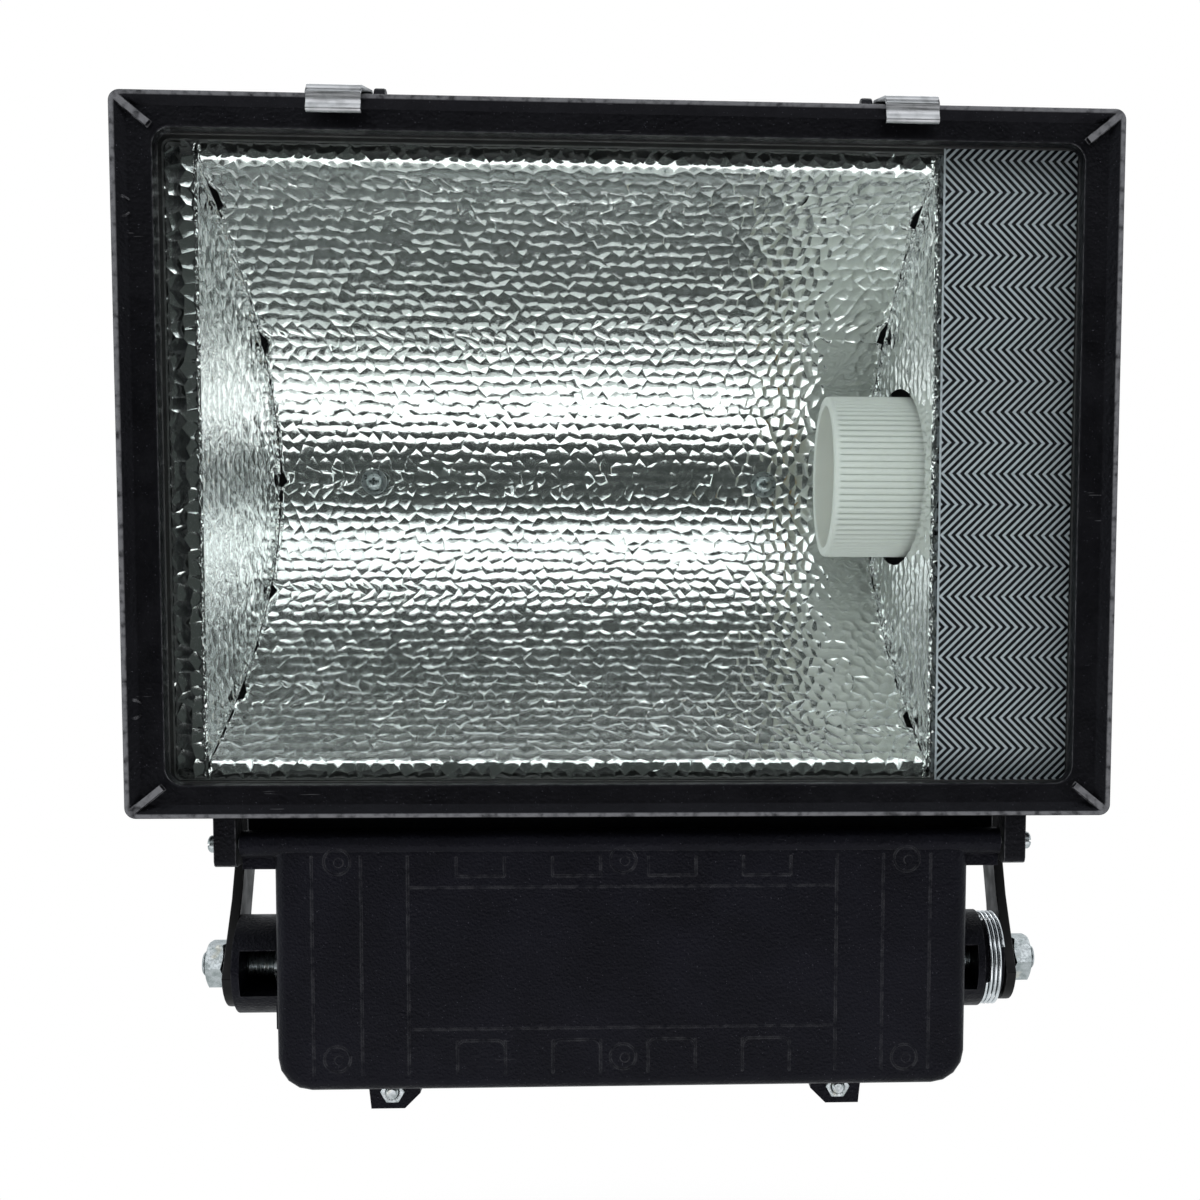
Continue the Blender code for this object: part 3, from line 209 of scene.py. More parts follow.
def cast_paint(name, tint, speck_size=0.9, grain=0.09, rim=False, shine=0.13):
    """Black paint over rough die-cast metal: cast grain, dust specks and rubbed edges. With rim, the
    frontmost rim also gets a painted highlight, broken up like rubbed paint, and the edges are painted much
    lighter, as painted highlight as well as wear.
    """
    look = Look(name, tint, 0.42)
    fill(look.shader, Specular_IOR_Level=shine, Specular_Tint=(0.84, 0.86, 1.0, 1.0))
    cloud = look.noise(26, 3)
    fine = look.noise(speck_size, 3, roughness=0.62)
    lump = look.cells(speck_size * 1.9)
    colour = look.blend(look.step(cloud, 0.3, 0.75), tint, [c * 1.9 for c in tint])
    dust = look.step(look.noise(0.55, 1), 0.735, 0.79)
    colour = look.blend(look.times(dust, 0.4), colour, (0.16, 0.16, 0.19))
    worn = look.times(look.edges(), look.step(look.noise(2.6, 4), 0.3, 0.7))
    scratch = look.step(look.noise(1.0, 2, look.stretched(0.06, 1.0, 1.3)), 0.72, 0.75)
    scratch = look.times(scratch, look.step(look.noise(34, 2), 0.56, 0.64))
    # painted highlight: the frontmost rim is lightened where light catches it, broken up by noise like rubbed
    # paint
    if rim:
        front = look.step(look.axes()[1], 0.45, 0.08)
        rim_highlight_and_rubbing = look.times(front, look.step(look.noise(3.5, 4), 0.22, 0.58))
        worn = look.sum("MAXIMUM", worn, rim_highlight_and_rubbing)
    worn = look.sum("MAXIMUM", worn, look.times(scratch, 0.35))
    # on the frame the edges and the rim are painted up to 0.8 towards grey: wear and painted highlight
    # together
    look.paint(look.blend(look.times(worn, 0.8 if rim else 0.22), colour, (0.2, 0.2, 0.21)))
    look.rough(look.step(look.noise(5, 4), 0.25, 0.8, 0.28, 0.48))
    look.relief(fine, grain).relief(lump, grain * 0.8).relief(cloud, 0.25)
    return look


def black_cast_look():
    return cast_paint("cast_black_paint", (0.0030, 0.0030, 0.0038), 0.7, 0.14, shine=0.15)


def frame_look():
    # rim=True paints a highlight along the frame's front rim, mixed with rubbed paint
    return cast_paint("frame_black_paint", (0.0026, 0.0026, 0.0031), 0.8, 0.14, rim=True, shine=0.1)


def gear_look():
    return cast_paint("gear_box_black_paint", (0.0022, 0.0022, 0.0036), 0.6, 0.2, shine=0.11)


def black_steel_look():
    black = (0.005, 0.005, 0.0052)
    look = Look("black_powder_coat", black, 0.4)
    fill(look.shader, Specular_IOR_Level=0.14)
    grain = look.noise(0.5, 2)
    worn = look.times(look.edges(0.5), look.step(look.noise(1.8, 3), 0.4, 0.6))
    look.paint(look.blend(look.times(worn, 0.7), black, (0.22, 0.22, 0.22)))
    look.rough(look.step(look.noise(9, 3), 0.3, 0.7, 0.33, 0.5))
    return look.relief(grain, 0.05).relief(look.noise(2.4, 2), 0.05)


def hammered_look():
    """Bright anodised sheet; the cells are in the mesh, and the fine rolling lines are here."""
    look = Look("hammered_aluminium", (0.86, 0.88, 0.87), 0.17, 1.0)
    film = look.noise(40, 2)
    look.paint(look.blend(film, (0.85, 0.872, 0.856), (0.905, 0.905, 0.915)))
    look.rough(look.step(look.noise(1.7, 3), 0.3, 0.75, 0.07, 0.16))
    look.relief(look.noise(0.55, 3, look.stretched(0.25, 1, 1)), 0.012)
    return look.relief(look.noise(2.2, 2), 0.05)


def sheet_metal_look(name, colour, roughness, along):
    """Satin metal with its brushing drawn out along one axis, and faint stains."""
    look = Look(name, colour, roughness, 1.0)
    stretch = [0.05 if n == "XYZ".index(along) else 1.6 for n in range(3)]
    lines = look.noise(0.5, 4, look.stretched(*stretch))
    stain = look.noise(4.5, 4)
    dark = [c * 0.72 for c in colour]
    look.paint(look.blend(look.step(stain, 0.42, 0.72), colour, dark))
    look.rough(look.step(lines, 0.3, 0.7, roughness - 0.08, roughness + 0.14))
    return look.relief(lines, 0.01).relief(stain, 0.02)


def zinc_look():
    """Bluish zinc plating with cloudy tints, and painted shade that darkens its recesses."""
    look = Look("zinc_plating", (0.6, 0.66, 0.67), 0.34, 1.0)
    cloud = look.noise(2.6, 4)
    tint = look.blend(look.step(cloud, 0.35, 0.7), (0.48, 0.52, 0.53), (0.31, 0.35, 0.35))
    stain = look.step(look.noise(5.5, 2), 0.58, 0.7)
    tint = look.blend(look.times(stain, 0.5), tint, (0.62, 0.6, 0.5))
    # painted shade: sunk-in places are darkened towards near black
    hollow_shade = look.painted_hollow_shade(0.36, 0.47)
    look.paint(look.blend(look.times(hollow_shade, 0.7), tint, (0.1, 0.11, 0.11)))
    look.rough(look.step(look.noise(1.1, 3), 0.3, 0.75, 0.24, 0.5))
    return look.relief(look.noise(0.35, 2), 0.02)


def ceramic_look():
    """Matt steatite: off-white and finely grained, with painted shade in the grooves between its ribs."""
    look = Look("steatite", (0.74, 0.77, 0.72), 0.5)
    grain = look.noise(0.6, 3)
    body = look.blend(look.noise(15, 2), (0.80, 0.83, 0.785), (0.87, 0.885, 0.85))
    # painted shade: the grooves between the ribs are darkened
    groove = look.painted_hollow_shade()
    body = look.blend(look.times(groove, 0.7), body, (0.42, 0.44, 0.41))
    specks = look.step(look.noise(0.8, 1), 0.76, 0.8)
    look.paint(look.blend(look.times(specks, 0.35), body, (0.4, 0.38, 0.33)))
    look.rough(look.step(grain, 0.3, 0.7, 0.42, 0.62))
    fill(look.shader, Subsurface_Weight=0.08, Subsurface_Radius=(0.002, 0.002, 0.0016))
    return look.relief(grain, 0.03)


def plain_look(name, colour, darker, roughness, size, grain, metallic=0.0):
    """A moulded, cast or wound surface: two tones in clouds, and a fine grain."""
    look = Look(name, colour, roughness, metallic)
    look.paint(look.blend(look.step(look.noise(size, 4), 0.35, 0.7), colour, darker))
    look.rough(look.step(look.noise(size / 3, 3), 0.3, 0.7, roughness - 0.07, roughness + 0.1))
    return look.relief(look.noise(0.4, 3), grain)


def layered_look(name, colour, gap_colour, pitch, axis, roughness, metallic):
    """Stacked laminations or wound wire: fine lines at one pitch along one axis."""
    look = Look(name, colour, roughness, metallic)
    at = look.sum("DIVIDE", look.axes()["XYZ".index(axis)], pitch)
    wave = look.sum("PINGPONG", at, 0.5)
    line = look.step(wave, 0.02, 0.16)
    stain = look.blend(look.noise(7, 3), colour, [c * 0.6 for c in colour])
    look.paint(look.blend(line, gap_colour, stain))
    look.rough(look.step(look.noise(3, 3), 0.3, 0.7, roughness - 0.08, roughness + 0.12))
    return look.relief(line, pitch * 0.25)


def sleeve_look():
    """Woven glass sleeve: two sets of threads crossing."""
    look = Look("woven_sleeve", (0.68, 0.66, 0.6), 0.75)
    x, y, z = look.axes()
    first = look.sum("PINGPONG", look.sum("ADD", look.sum("ADD", x, y), z), 0.35)
    second = look.sum("PINGPONG", look.sum("SUBTRACT", look.sum("ADD", x, y), z), 0.35)
    weave = look.sum("MAXIMUM", first, second)
    look.paint(look.blend(look.step(weave, 0.1, 0.3), (0.4, 0.38, 0.34), (0.72, 0.7, 0.63)))
    return look.relief(weave, 0.15)


def glass_look():
    """Clear toughened glass: what is behind it shows, with a faint green tint and thin reflections."""
    look = Look("clear_glass", (0.86, 0.93, 0.9), 0.02)
    clear = look.nodes.new("ShaderNodeBsdfTransparent")
    fill(clear, Color=(0.965, 0.985, 0.975, 1))
    gloss = look.nodes.new("ShaderNodeBsdfGlossy")
    fill(gloss, Roughness=0.02)
    facing = look.nodes.new("ShaderNodeLayerWeight").outputs["Facing"]
    grazing = look.sum("MULTIPLY_ADD", look.sum("POWER", facing, 5.0), 0.96, 0.03)
    show_mix(look.material.node_tree, grazing, clear.outputs[0], gloss.outputs[0])
    look.nodes.remove(look.shader)
    return look


PRINT_PITCH = 2.95          # between two chevron lines, along x
PRINT_PERIOD = 22.9         # of their zigzag, along z
PRINT_PEAK = 101.7          # height of one row of points to the right
PRINT_LINE = 0.43           # share of the pitch that is line


def print_look():
    """Silver chevron lines on a black ground, as enamel on the glass."""
    look = Look("chevron_enamel", (0.02, 0.02, 0.022), 0.35)
    x, _, z = look.axes()
    zigzag = look.sum("PINGPONG", look.sum("SUBTRACT", z, PRINT_PEAK), PRINT_PERIOD / 2)
    at = look.sum("DIVIDE", look.sum("ADD", x, zigzag), PRINT_PITCH)
    wave = look.sum("PINGPONG", at, 0.5)
    line = look.step(wave, PRINT_LINE / 2 + 0.03, PRINT_LINE / 2 - 0.03)
    border = look.step(x, GLASS_PRINT_X + 0.9, GLASS_PRINT_X + 0.6)
    mark = look.sum("MAXIMUM", line, border)
    silver = look.blend(look.noise(12, 3), (0.44, 0.47, 0.51), (0.51, 0.54, 0.58))
    look.paint(look.blend(mark, (0.012, 0.012, 0.015), silver))
    look.rough(look.step(mark, 0.0, 1.0, 0.2, 0.45))
    return look.relief(mark, 0.02)


# ---- mesh helpers

def arc(centre, radius, start, end, steps):
    """Points on an arc, its angles in degrees."""
    turns = (math.radians(start + (end - start) * n / steps) for n in range(steps + 1))
    return [(centre[0] + radius * math.cos(t), centre[1] + radius * math.sin(t)) for t in turns]


def rounded(half_x, low_z, high_z, radius, steps=8):
    """A rounded rectangle in x and z, anticlockwise from its upper right corner."""
    x, top, bottom = half_x - radius, high_z - radius, low_z + radius
    centres = ((x, top), (-x, top), (-x, bottom), (x, bottom))
    return [p for n, centre in enumerate(centres) for p in arc(centre, radius, 90 * n, 90 * n + 90, steps)]


def ring_mesh(rings, caps):
    """A surface through rings of points, closed on itself or by a cap at each end."""
    bm = bmesh.new()
    rows = [[bm.verts.new(point) for point in ring] for ring in rings]
    pairs = list(zip(rows, rows[1:])) + ([] if caps else [(rows[-1], rows[0])])
    for first, second in pairs:
        for n in range(len(first)):
            after = (n + 1) % len(first)
            bm.faces.new((first[n], first[after], second[after], second[n]))
    if caps:
        bm.faces.new(rows[0])
        bm.faces.new(rows[-1][::-1])
    bmesh.ops.recalc_face_normals(bm, faces=bm.faces)
    return bm


def turned_mesh(profile, at, axis="X", steps=64):
    """A profile of (radius, place along the axis) turned about an axis through a point."""
    spin = {"X": lambda r, a, t: (a, r * math.cos(t), r * math.sin(t)),
            "Y": lambda r, a, t: (r * math.sin(t), a, r * math.cos(t))}[axis]
    angles = [2 * math.pi * n / steps for n in range(steps)]
    solid = profile[0][0] == 0
    rows = [(max(r, 1e-4), a) for r, a in profile]
    rings = [[Vector(spin(r, a, t)) + Vector(at) for t in angles] for r, a in rows]
    return ring_mesh(rings, caps=solid)


def plate_mesh(outline, thickness, at=(0, 0, 0), axis="Y"):
    """A flat outline given a thickness, centred on a point along its axis."""
    turn = {"X": lambda u, v, w: (w, u, v), "Y": lambda u, v, w: (u, w, v)}[axis]
    half = thickness / 2
    rings = [[Vector(turn(u, v, w)) + Vector(at) for u, v in outline] for w in (-half, half)]
    return ring_mesh(rings, caps=True)


def block_mesh(low, high):
    bm = bmesh.new()
    bmesh.ops.create_cube(bm, size=1)
    low, high = Vector(low), Vector(high)
    for vertex in bm.verts:
        vertex.co = (low + high) / 2 + Vector(a * b for a, b in zip(vertex.co, high - low))
    return bm


def tube_mesh(points, radius, sides=12):
    """A round wire through points, with flat ends."""
    points = [Vector(p) for p in points]
    rings = []
    across = None
    for n, point in enumerate(points):
        along = (points[min(n + 1, len(points) - 1)] - points[max(n - 1, 0)]).normalized()
        if across is None:
            across = along.orthogonal().normalized()
        across = (across - along * across.dot(along)).normalized()
        beside = along.cross(across)
        turns = [2 * math.pi * k / sides for k in range(sides)]
        rings.append([point + radius * (across * math.cos(t) + beside * math.sin(t)) for t in turns])
    return ring_mesh(rings, caps=True)


def merged(*meshes):
    """Several bmeshes as one, each left as its own closed shell."""
    whole = meshes[0]
    for bm in meshes[1:]:
        held = bpy.data.meshes.new("held")
        bm.to_mesh(held)
        bm.free()
        whole.from_mesh(held)
        bpy.data.meshes.remove(held)
    return whole


def to_object(name, bm, scale=MM):
    """A new object from a bmesh in the lamp's millimetres."""
    mesh = bpy.data.meshes.new(name)
    bm.to_mesh(mesh)
    bm.free()
    mesh.transform(Matrix.Scale(scale, 4))
    obj = bpy.data.objects.new(name, mesh)
    bpy.context.scene.collection.objects.link(obj)
    obj.location = ORIGIN
    return obj


def apply_modifiers(obj):
    """Replaces the object's mesh with what its modifiers make of it."""
    bpy.context.view_layer.update()
    evaluated = obj.evaluated_get(bpy.context.evaluated_depsgraph_get())
    mesh = bpy.data.meshes.new_from_object(evaluated)
    obj.modifiers.clear()
    obj.data = mesh
    return obj


def soften(obj, width, segments=2, angle=35):
    """Breaks the sharp edges."""
    bevel = obj.modifiers.new("edges", "BEVEL")
    bevel.width = width * MM
    bevel.segments = segments
    bevel.limit_method = "ANGLE"
    bevel.angle_limit = math.radians(angle)
    bevel.use_clamp_overlap = True
    return apply_modifiers(obj)


def carve(obj, bm, operation="DIFFERENCE"):
    """Cuts a shape out of an object, or keeps only what both share."""
    cutter = to_object("cutter", bm)
    boolean = obj.modifiers.new("carve", "BOOLEAN")
    boolean.operation = operation
    boolean.solver = "EXACT"
    boolean.object = cutter
    apply_modifiers(obj)
    bpy.data.objects.remove(cutter)
    return obj


def join_into(obj, *others):
    """Adds other objects' meshes to one, each left as its own closed shell."""
    bm = bmesh.new()
    for each in (obj, *others):
        bm.from_mesh(each.data)
    bm.to_mesh(obj.data)
    bm.free()
    for each in others:
        bpy.data.objects.remove(each)


def show(obj, look, body, nodes, smooth=38):
    """Dresses a finished piece, lets it ride on its body and hides the CAD nodes that it stands for."""
    obj.data.materials.clear()
    obj.data.materials.append(look.material)
    if smooth is not None:
        obj.data.shade_smooth()
        obj.data.set_sharp_from_angle(angle=math.radians(smooth))
        normals = obj.modifiers.new("flat faces stay flat", "WEIGHTED_NORMAL")
        normals.keep_sharp = True
    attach(obj, body)
    if nodes:
        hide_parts(*nodes)
    return obj


def cad_copy(node, name, flat=1.0):
    """A CAD node's own shape as a new object, its flat faces merged, in the lamp's coordinates."""
    bm = bmesh.new()
    bm.from_mesh(frame["nodes"][node].data)
    bmesh.ops.remove_doubles(bm, verts=bm.verts, dist=0.005 * MM)
    bmesh.ops.translate(bm, verts=bm.verts, vec=-ORIGIN)
    bmesh.ops.dissolve_limit(bm, angle_limit=math.radians(flat), verts=bm.verts, edges=bm.edges)
    return to_object(name, bm, 1.0)


# ---- door: frame, glass, print

GLASS_PRINT_X = 117.1       # left edge of the printed band
HALF_WIDE = 180             # half the width of the door frame
MEMBER_X, MEMBER_Z = 14, 11.8       # widths of its upright and its level members
RIB_START, RIB_HALF, RIB_TALL = 2.2, 1.15, 3.4      # the rib over a mitre
EAR_X, HINGE_Y, HINGE_Z = 146.5, 14, -139.4
BOSS_X, BOSS_Z, MARK_X = 175.2, 88, 176.3           # screw bosses, and the marks in front of them


def frame_ring(y, inset, radius):
    """One ring of the frame; inset is a share of the members' widths."""
    outline = rounded(HALF_WIDE - MEMBER_X * inset, MEMBER_Z * inset - HALF_HIGH,
                      HALF_HIGH - MEMBER_Z * inset, radius)
    return [(x, y, z) for x, z in outline]


def mitre_rib(side_x, side_z):
    """The rib across a corner of the frame, from the rim to the opening."""
    outer = Vector((side_x * (HALF_WIDE - RIB_START), side_z * (HALF_HIGH - RIB_START)))
    inner = Vector((side_x * (HALF_WIDE - MEMBER_X + 0.5), side_z * (HALF_HIGH - MEMBER_Z + 0.5)))
    along = (inner - outer).normalized()
    across = Vector((-along.y, along.x)) * RIB_HALF
    outline = [outer + across, outer - across, inner - across, inner + across]
    return plate_mesh([tuple(p) for p in outline], RIB_TALL, (0, 0.06 + RIB_TALL / 2, 0))


def door_frame():
    rings = [  # depth, share of the member, corner radius
        (1.0, 0, 4), (0.45, 0.012, 3.9), (0.12, 0.035, 3.8), (0, 0.06, 3.7), (0, 0.1, 3.6),
        (0.12, 0.125, 3.5), (2.3, 0.375, 3.4), (2.55, 0.4, 3.4), (2.6, 0.43, 3.5), (2.6, 0.94, 5.8),
        (2.75, 0.975, 6.2), (3.1, 1, 6.5), (8.7, 1, 6.5), (9.1, 0.98, 6.2), (9.1, 0.78, 5.2),
        (7.5, 0.78, 5.2), (7.5, 0.2, 3.6), (14.8, 0.2, 3.6), (15, 0.18, 3.6), (15, 0.02, 4), (14.8, 0, 4),
    ]
    shapes = [ring_mesh([frame_ring(*row) for row in rings], caps=False)]
    for x in (-1, 1):
        ear = [(8, -124), (8, -145), (8.8, -146.7), (10.5, -147.4), (17.5, -147.4), (19.2, -146.7),
               (20, -145), (20, -130), (14, -127), (14, -124)]
        shapes.append(plate_mesh(ear, 8, (x * EAR_X, 0, 0), "X"))
        for z in (-BOSS_Z, BOSS_Z):
            boss = [(0, 6.5), (3.4, 6.5), (3.4, 17.3), (1.6, 17.3), (1.6, 9), (0, 9)]
            shapes.append(turned_mesh(boss, (x * BOSS_X, 0, z), "Y", 32))
            mark = [(u, 1.75 - 0.45 * x * (u - x * MARK_X) / 3.3, v)
                    for u, v in arc((x * MARK_X, z * 1.005), 3.3, 40, 320, 28)]
            shapes.append(tube_mesh(mark, 0.32, 8))
    obj = to_object("door_frame_casting", merged(*shapes))
    for x in (-1, 1):
        hole = [(0, -9), (2.2, -9), (2.2, 9), (0, 9)]
        carve(obj, turned_mesh(hole, (x * EAR_X, HINGE_Y, HINGE_Z), "X", 32))
    ribs = [mitre_rib(x, z) for x in (-1, 1) for z in (-1, 1)]
    join_into(obj, to_object("mitre_ribs", merged(*ribs)))
    show(obj, frame_look(), "door", ["door_frame"], 32)


def glass_print():
    """The enamel band on the back of the glass, at the lampholder's end."""
    low, high = lamp_box("front_glass")
    y = high.y + 0.06
    half = HALF_HIGH - MEMBER_Z + 1
    right = HALF_WIDE - MEMBER_X + 1
    outline = [(GLASS_PRINT_X, -half), (right, -half), (right, half), (GLASS_PRINT_X, half)]
    obj = to_object("glass_print", plate_mesh(outline, 0.08, (0, y, 0)))
    show(obj, print_look(), "door", [])


def glass():
    obj = soften(cad_copy("front_glass", "glass_pane"), 0.5, 2, 50)
    show(obj, glass_look(), "door", ["front_glass"], 50)


# ---- hammered reflector

CELL = 5.6                  # width of one hammered cell
CELL_DEPTH = 0.33           # usual depth of its bowl
CELL_RINGS = (1.0, 0.86, 0.6, 0.3)  # shares of a cell's size at which its bowl has points
FOLD_Y, FOLD_Z, TROUGH_Y = 18.9, 110, 102           # the folds into the lips, and the deepest line
LEFT, RIGHT, CLOSE_IN = -155.4, 115.6, 10.5         # the ends at the fold, and how far they lean in
PLAY = 1.7                  # from the end plate's fold to the end of the trough
LIP_Z, LIP_LEFT, LIP_RIGHT = 119.4, -167.5, 127     # the outer edges of the lips
SHEET = 0.8                 # thickness
TABS_LEFT = (100, 55, 1, -47, -86)
TABS_RIGHT = (97, 60, -96)


def hammered_cells(low_u, high_u, low_v, high_v, seed):
    """Irregular six-sided bowls that share their corners, covering a rectangle.

    Gives each cell as rings of (u, v, height) from its border to its middle point."""
    rng = np.random.default_rng(seed)
    high_row = CELL * 0.87
    rows, columns = int((high_v - low_v) / high_row) + 4, int((high_u - low_u) / CELL) + 4
    corners = {}

    def corner(row, column, end):
        """The upper (end 1) or lower (end 0) point of a cell, moved a little at random."""
        if (row, column, end) not in corners:
            shift = 0.5 * (row % 2)
            u = low_u + (column - 1 + shift) * CELL
            v = low_v + (row - 1 + (0.66 if end else -0.66)) * high_row
            stray = rng.uniform(-0.21, 0.21, 2) * CELL
            corners[row, column, end] = (u + stray[0], v + stray[1], rng.uniform(-0.04, 0.05))
        return corners[row, column, end]

    for row in range(rows):
        for column in range(columns):
            odd = row % 2
            ring = [
                corner(row, column, 1),
                corner(row + 1, column - 1 + odd, 0),
                corner(row - 1, column - 1 + odd, 1),
                corner(row, column, 0),
                corner(row - 1, column + odd, 1),
                corner(row + 1, column + odd, 0),
            ]
            yield ring, rng.uniform(-0.09, 0.09, 2) * CELL, CELL_DEPTH * rng.uniform(0.65, 1.3)


def hammered_mesh(low_u, high_u, low_v, high_v, seed, place, limit=None):
    """Hammered sheet over a rectangle.

    place turns (u, v, height) into a point; limit is how far v goes at each u."""
    bm = bmesh.new()
    held = {}

    def inside(u, v):
        u = min(max(u, low_u), high_u)
        top = high_v if limit is None else min(high_v, limit(u))
        return u, min(max(v, low_v), top)

    def point(u, v, height):
        u, v = inside(u, v)
        key = (round(u, 4), round(v, 4))
        if key not in held:
            held[key] = bm.verts.new(place(u, v, height))
        return held[key]

    def face(*points):
        kept = [p for n, p in enumerate(points) if p is not points[n - 1]]
        if len(set(kept)) == len(kept) >= 3 and bm.faces.get(kept) is None:
            made = bm.faces.new(kept)
            if made.calc_area() < 1e-4:
                bm.faces.remove(made)

    for ring, lean, deep in hammered_cells(low_u, high_u, low_v, high_v, seed):
        middle = np.mean([p[:2] for p in ring], axis=0) + lean
        within_u = low_u - CELL < middle[0] < high_u + CELL
        if not (within_u and low_v - CELL < middle[1] < high_v + CELL):
            continue
        loops = []
        for share in CELL_RINGS:
            loop = []
            for u, v, ridge in ring:
                at = middle + (np.array((u, v)) - middle) * share
                loop.append(point(at[0], at[1], ridge * share + deep * (share ** 2 - 1)))
            loops.append(loop)
        centre = point(middle[0], middle[1], -deep)
        for outer, inner in zip(loops, loops[1:]):
            for n in range(6):
                face(outer[n - 1], outer[n], inner[n], inner[n - 1])
        for n in range(6):
            face(loops[-1][n - 1], loops[-1][n], centre)
            ends = loops[0][n - 1], loops[0][n]
            crease = bm.edges.get(ends) if ends[0] is not ends[1] else None
            if crease is not None:
                crease.smooth = False
    loose = [v for v in bm.verts if not v.link_faces]
    bmesh.ops.delete(bm, geom=loose, context="VERTS")
    bmesh.ops.recalc_face_normals(bm, faces=bm.faces)
    return bm


def sheet_object(name, bm, toward):
    """Gives a hammered surface the sheet's thickness, away from the side that it shows."""
    face = max(bm.faces, key=lambda f: f.calc_area())
    if face.normal.dot(toward) < 0:
        bmesh.ops.reverse_faces(bm, faces=bm.faces)
    for f in bm.faces:
        f.smooth = True
    obj = to_object(name, bm)
    solid = obj.modifiers.new("thickness", "SOLIDIFY")
    solid.thickness = SHEET * MM
    solid.offset = -1
    return apply_modifiers(obj)


def depth_at(z):
    return TROUGH_Y - (TROUGH_Y - FOLD_Y) * (z / FOLD_Z) ** 2


def notch(z, places, across=3.0):
    """How far a tab slot at one of these heights bites into the sheet's end."""
    return 2.4 if any(abs(z - place) < across for place in places) else 0.0


def trough():
    """The trough and its two lips, following the parabola from fold to fold."""
    curve = FOLD_Z * np.cos(np.linspace(0, math.pi, 1200))
    heights = np.concatenate([[LIP_Z], curve, [-LIP_Z]])
    depths = np.where(np.abs(heights) > FOLD_Z, FOLD_Y, depth_at(heights))
    run = np.concatenate([[0], np.cumsum(np.hypot(np.diff(heights), np.diff(depths)))])
    out_z = np.gradient(depths, run)
    out_y = np.gradient(heights, run)

    def place(u, v, height):
        z, y = np.interp(v, run, heights), np.interp(v, run, depths)
        tilt = Vector((np.interp(v, run, out_y), -np.interp(v, run, out_z))).normalized()
        share = (y - FOLD_Y) / (TROUGH_Y - FOLD_Y)
        left = LEFT + CLOSE_IN * share + PLAY + notch(z, TABS_LEFT)
        right = RIGHT - CLOSE_IN * share - PLAY - notch(z, TABS_RIGHT)
        lift = SHEET / 2 + height * (1 if 0 < v < run[-1] else 0)
        return left + (right - left) * u / (RIGHT - LEFT), y + tilt.x * lift, z + tilt.y * lift

    bm = hammered_mesh(0, RIGHT - LEFT, 0, run[-1], 7, place)
    obj = sheet_object("reflector_trough_hammered", bm, Vector((0, -1, 0)))
    show(obj, hammered_look(), "housing", ["reflector_trough"], None)


def reflector_ends():
    """The two slanted ends, each with its lip along the front."""
    lean = CLOSE_IN / (TROUGH_Y - FOLD_Y)
    for side, name, fold, outer in ((-1, "left", LEFT, LIP_LEFT), (1, "right", RIGHT, LIP_RIGHT)):
        inward = Vector((-side, -lean)).normalized()

        def on_plate(u, v, height):
            lift = SHEET / 2 + height
            return fold - side * lean * (v - FOLD_Y) + inward.x * lift, v + inward.y * lift, u

        def back_edge(u):
            return max(depth_at(u) - 1.6, FOLD_Y + 1.4)

        def on_lip(u, v, height):
            return v, FOLD_Y - SHEET / 2 - height, u

        reach = FOLD_Z - 0.3
        plate = hammered_mesh(-reach, reach, FOLD_Y, TROUGH_Y, 11 + side, on_plate, back_edge)
        obj = sheet_object(f"reflector_end_{name}_hammered", plate, Vector((-side, 0, 0)))
        if side > 0:
            hole = [(0, 85), (HOLE_RADIUS, 85), (HOLE_RADIUS, 130), (0, 130)]
            carve(obj, turned_mesh(hole, (0, HOLDER_Y, HOLDER_Z), "X", 96))
        lip = hammered_mesh(-LIP_Z, LIP_Z, *sorted((fold, outer)), 17 + side, on_lip)
        bend = tube_mesh([(fold, FOLD_Y, -reach), (fold, FOLD_Y, reach)], SHEET / 2 + 0.05, 16)
        join_into(obj, sheet_object("lip", lip, Vector((0, -1, 0))), to_object("bend", bend))
        show(obj, hammered_look(), "housing", [f"reflector_end_{name}"], None)


# ---- screws, nuts, wire

def cross_recess(at, axis_sign, size, deep):
    """A Phillips cutter: two crossed tapering blades, driven in along y."""
    shapes = []
    for u, v in ((size, 0.3 * size), (0.3 * size, size)):
        wide = [(-u, -v), (u, -v), (u, v), (-u, v)]
        rings = [[Vector(at) + Vector((x * k, axis_sign * w, z * k)) for x, z in wide]
                 for k, w in ((1.15, -0.6), (0.5, deep))]
        shapes.append(ring_mesh(rings, caps=True))
    return shapes


def reflector_screws():
    for side in ("left", "right"):
        low, high = lamp_box(f"reflector_screw_{side}")
        x, front = (low.x + high.x) / 2, low.y
        washer = front + 2.4
        profile = [(0, front), (1.3, front + 0.06), (2.4, front + 0.35), (3.1, front + 0.9),
                   (3.4, front + 1.7), (3.4, washer), (5.2, washer), (5.35, washer + 0.2),
                   (5.35, washer + 0.8), (2, washer + 0.8), (2, high.y), (0, high.y)]
        obj = to_object(f"reflector_screw_{side}_head", turned_mesh(profile, (x, 0, 0), "Y", 48))
        for blade in cross_recess((x, front, 0), 1, 1.75, 1.9):
            carve(obj, blade)
        show(obj, zinc_look(), "housing", [f"reflector_screw_{side}"], 30)


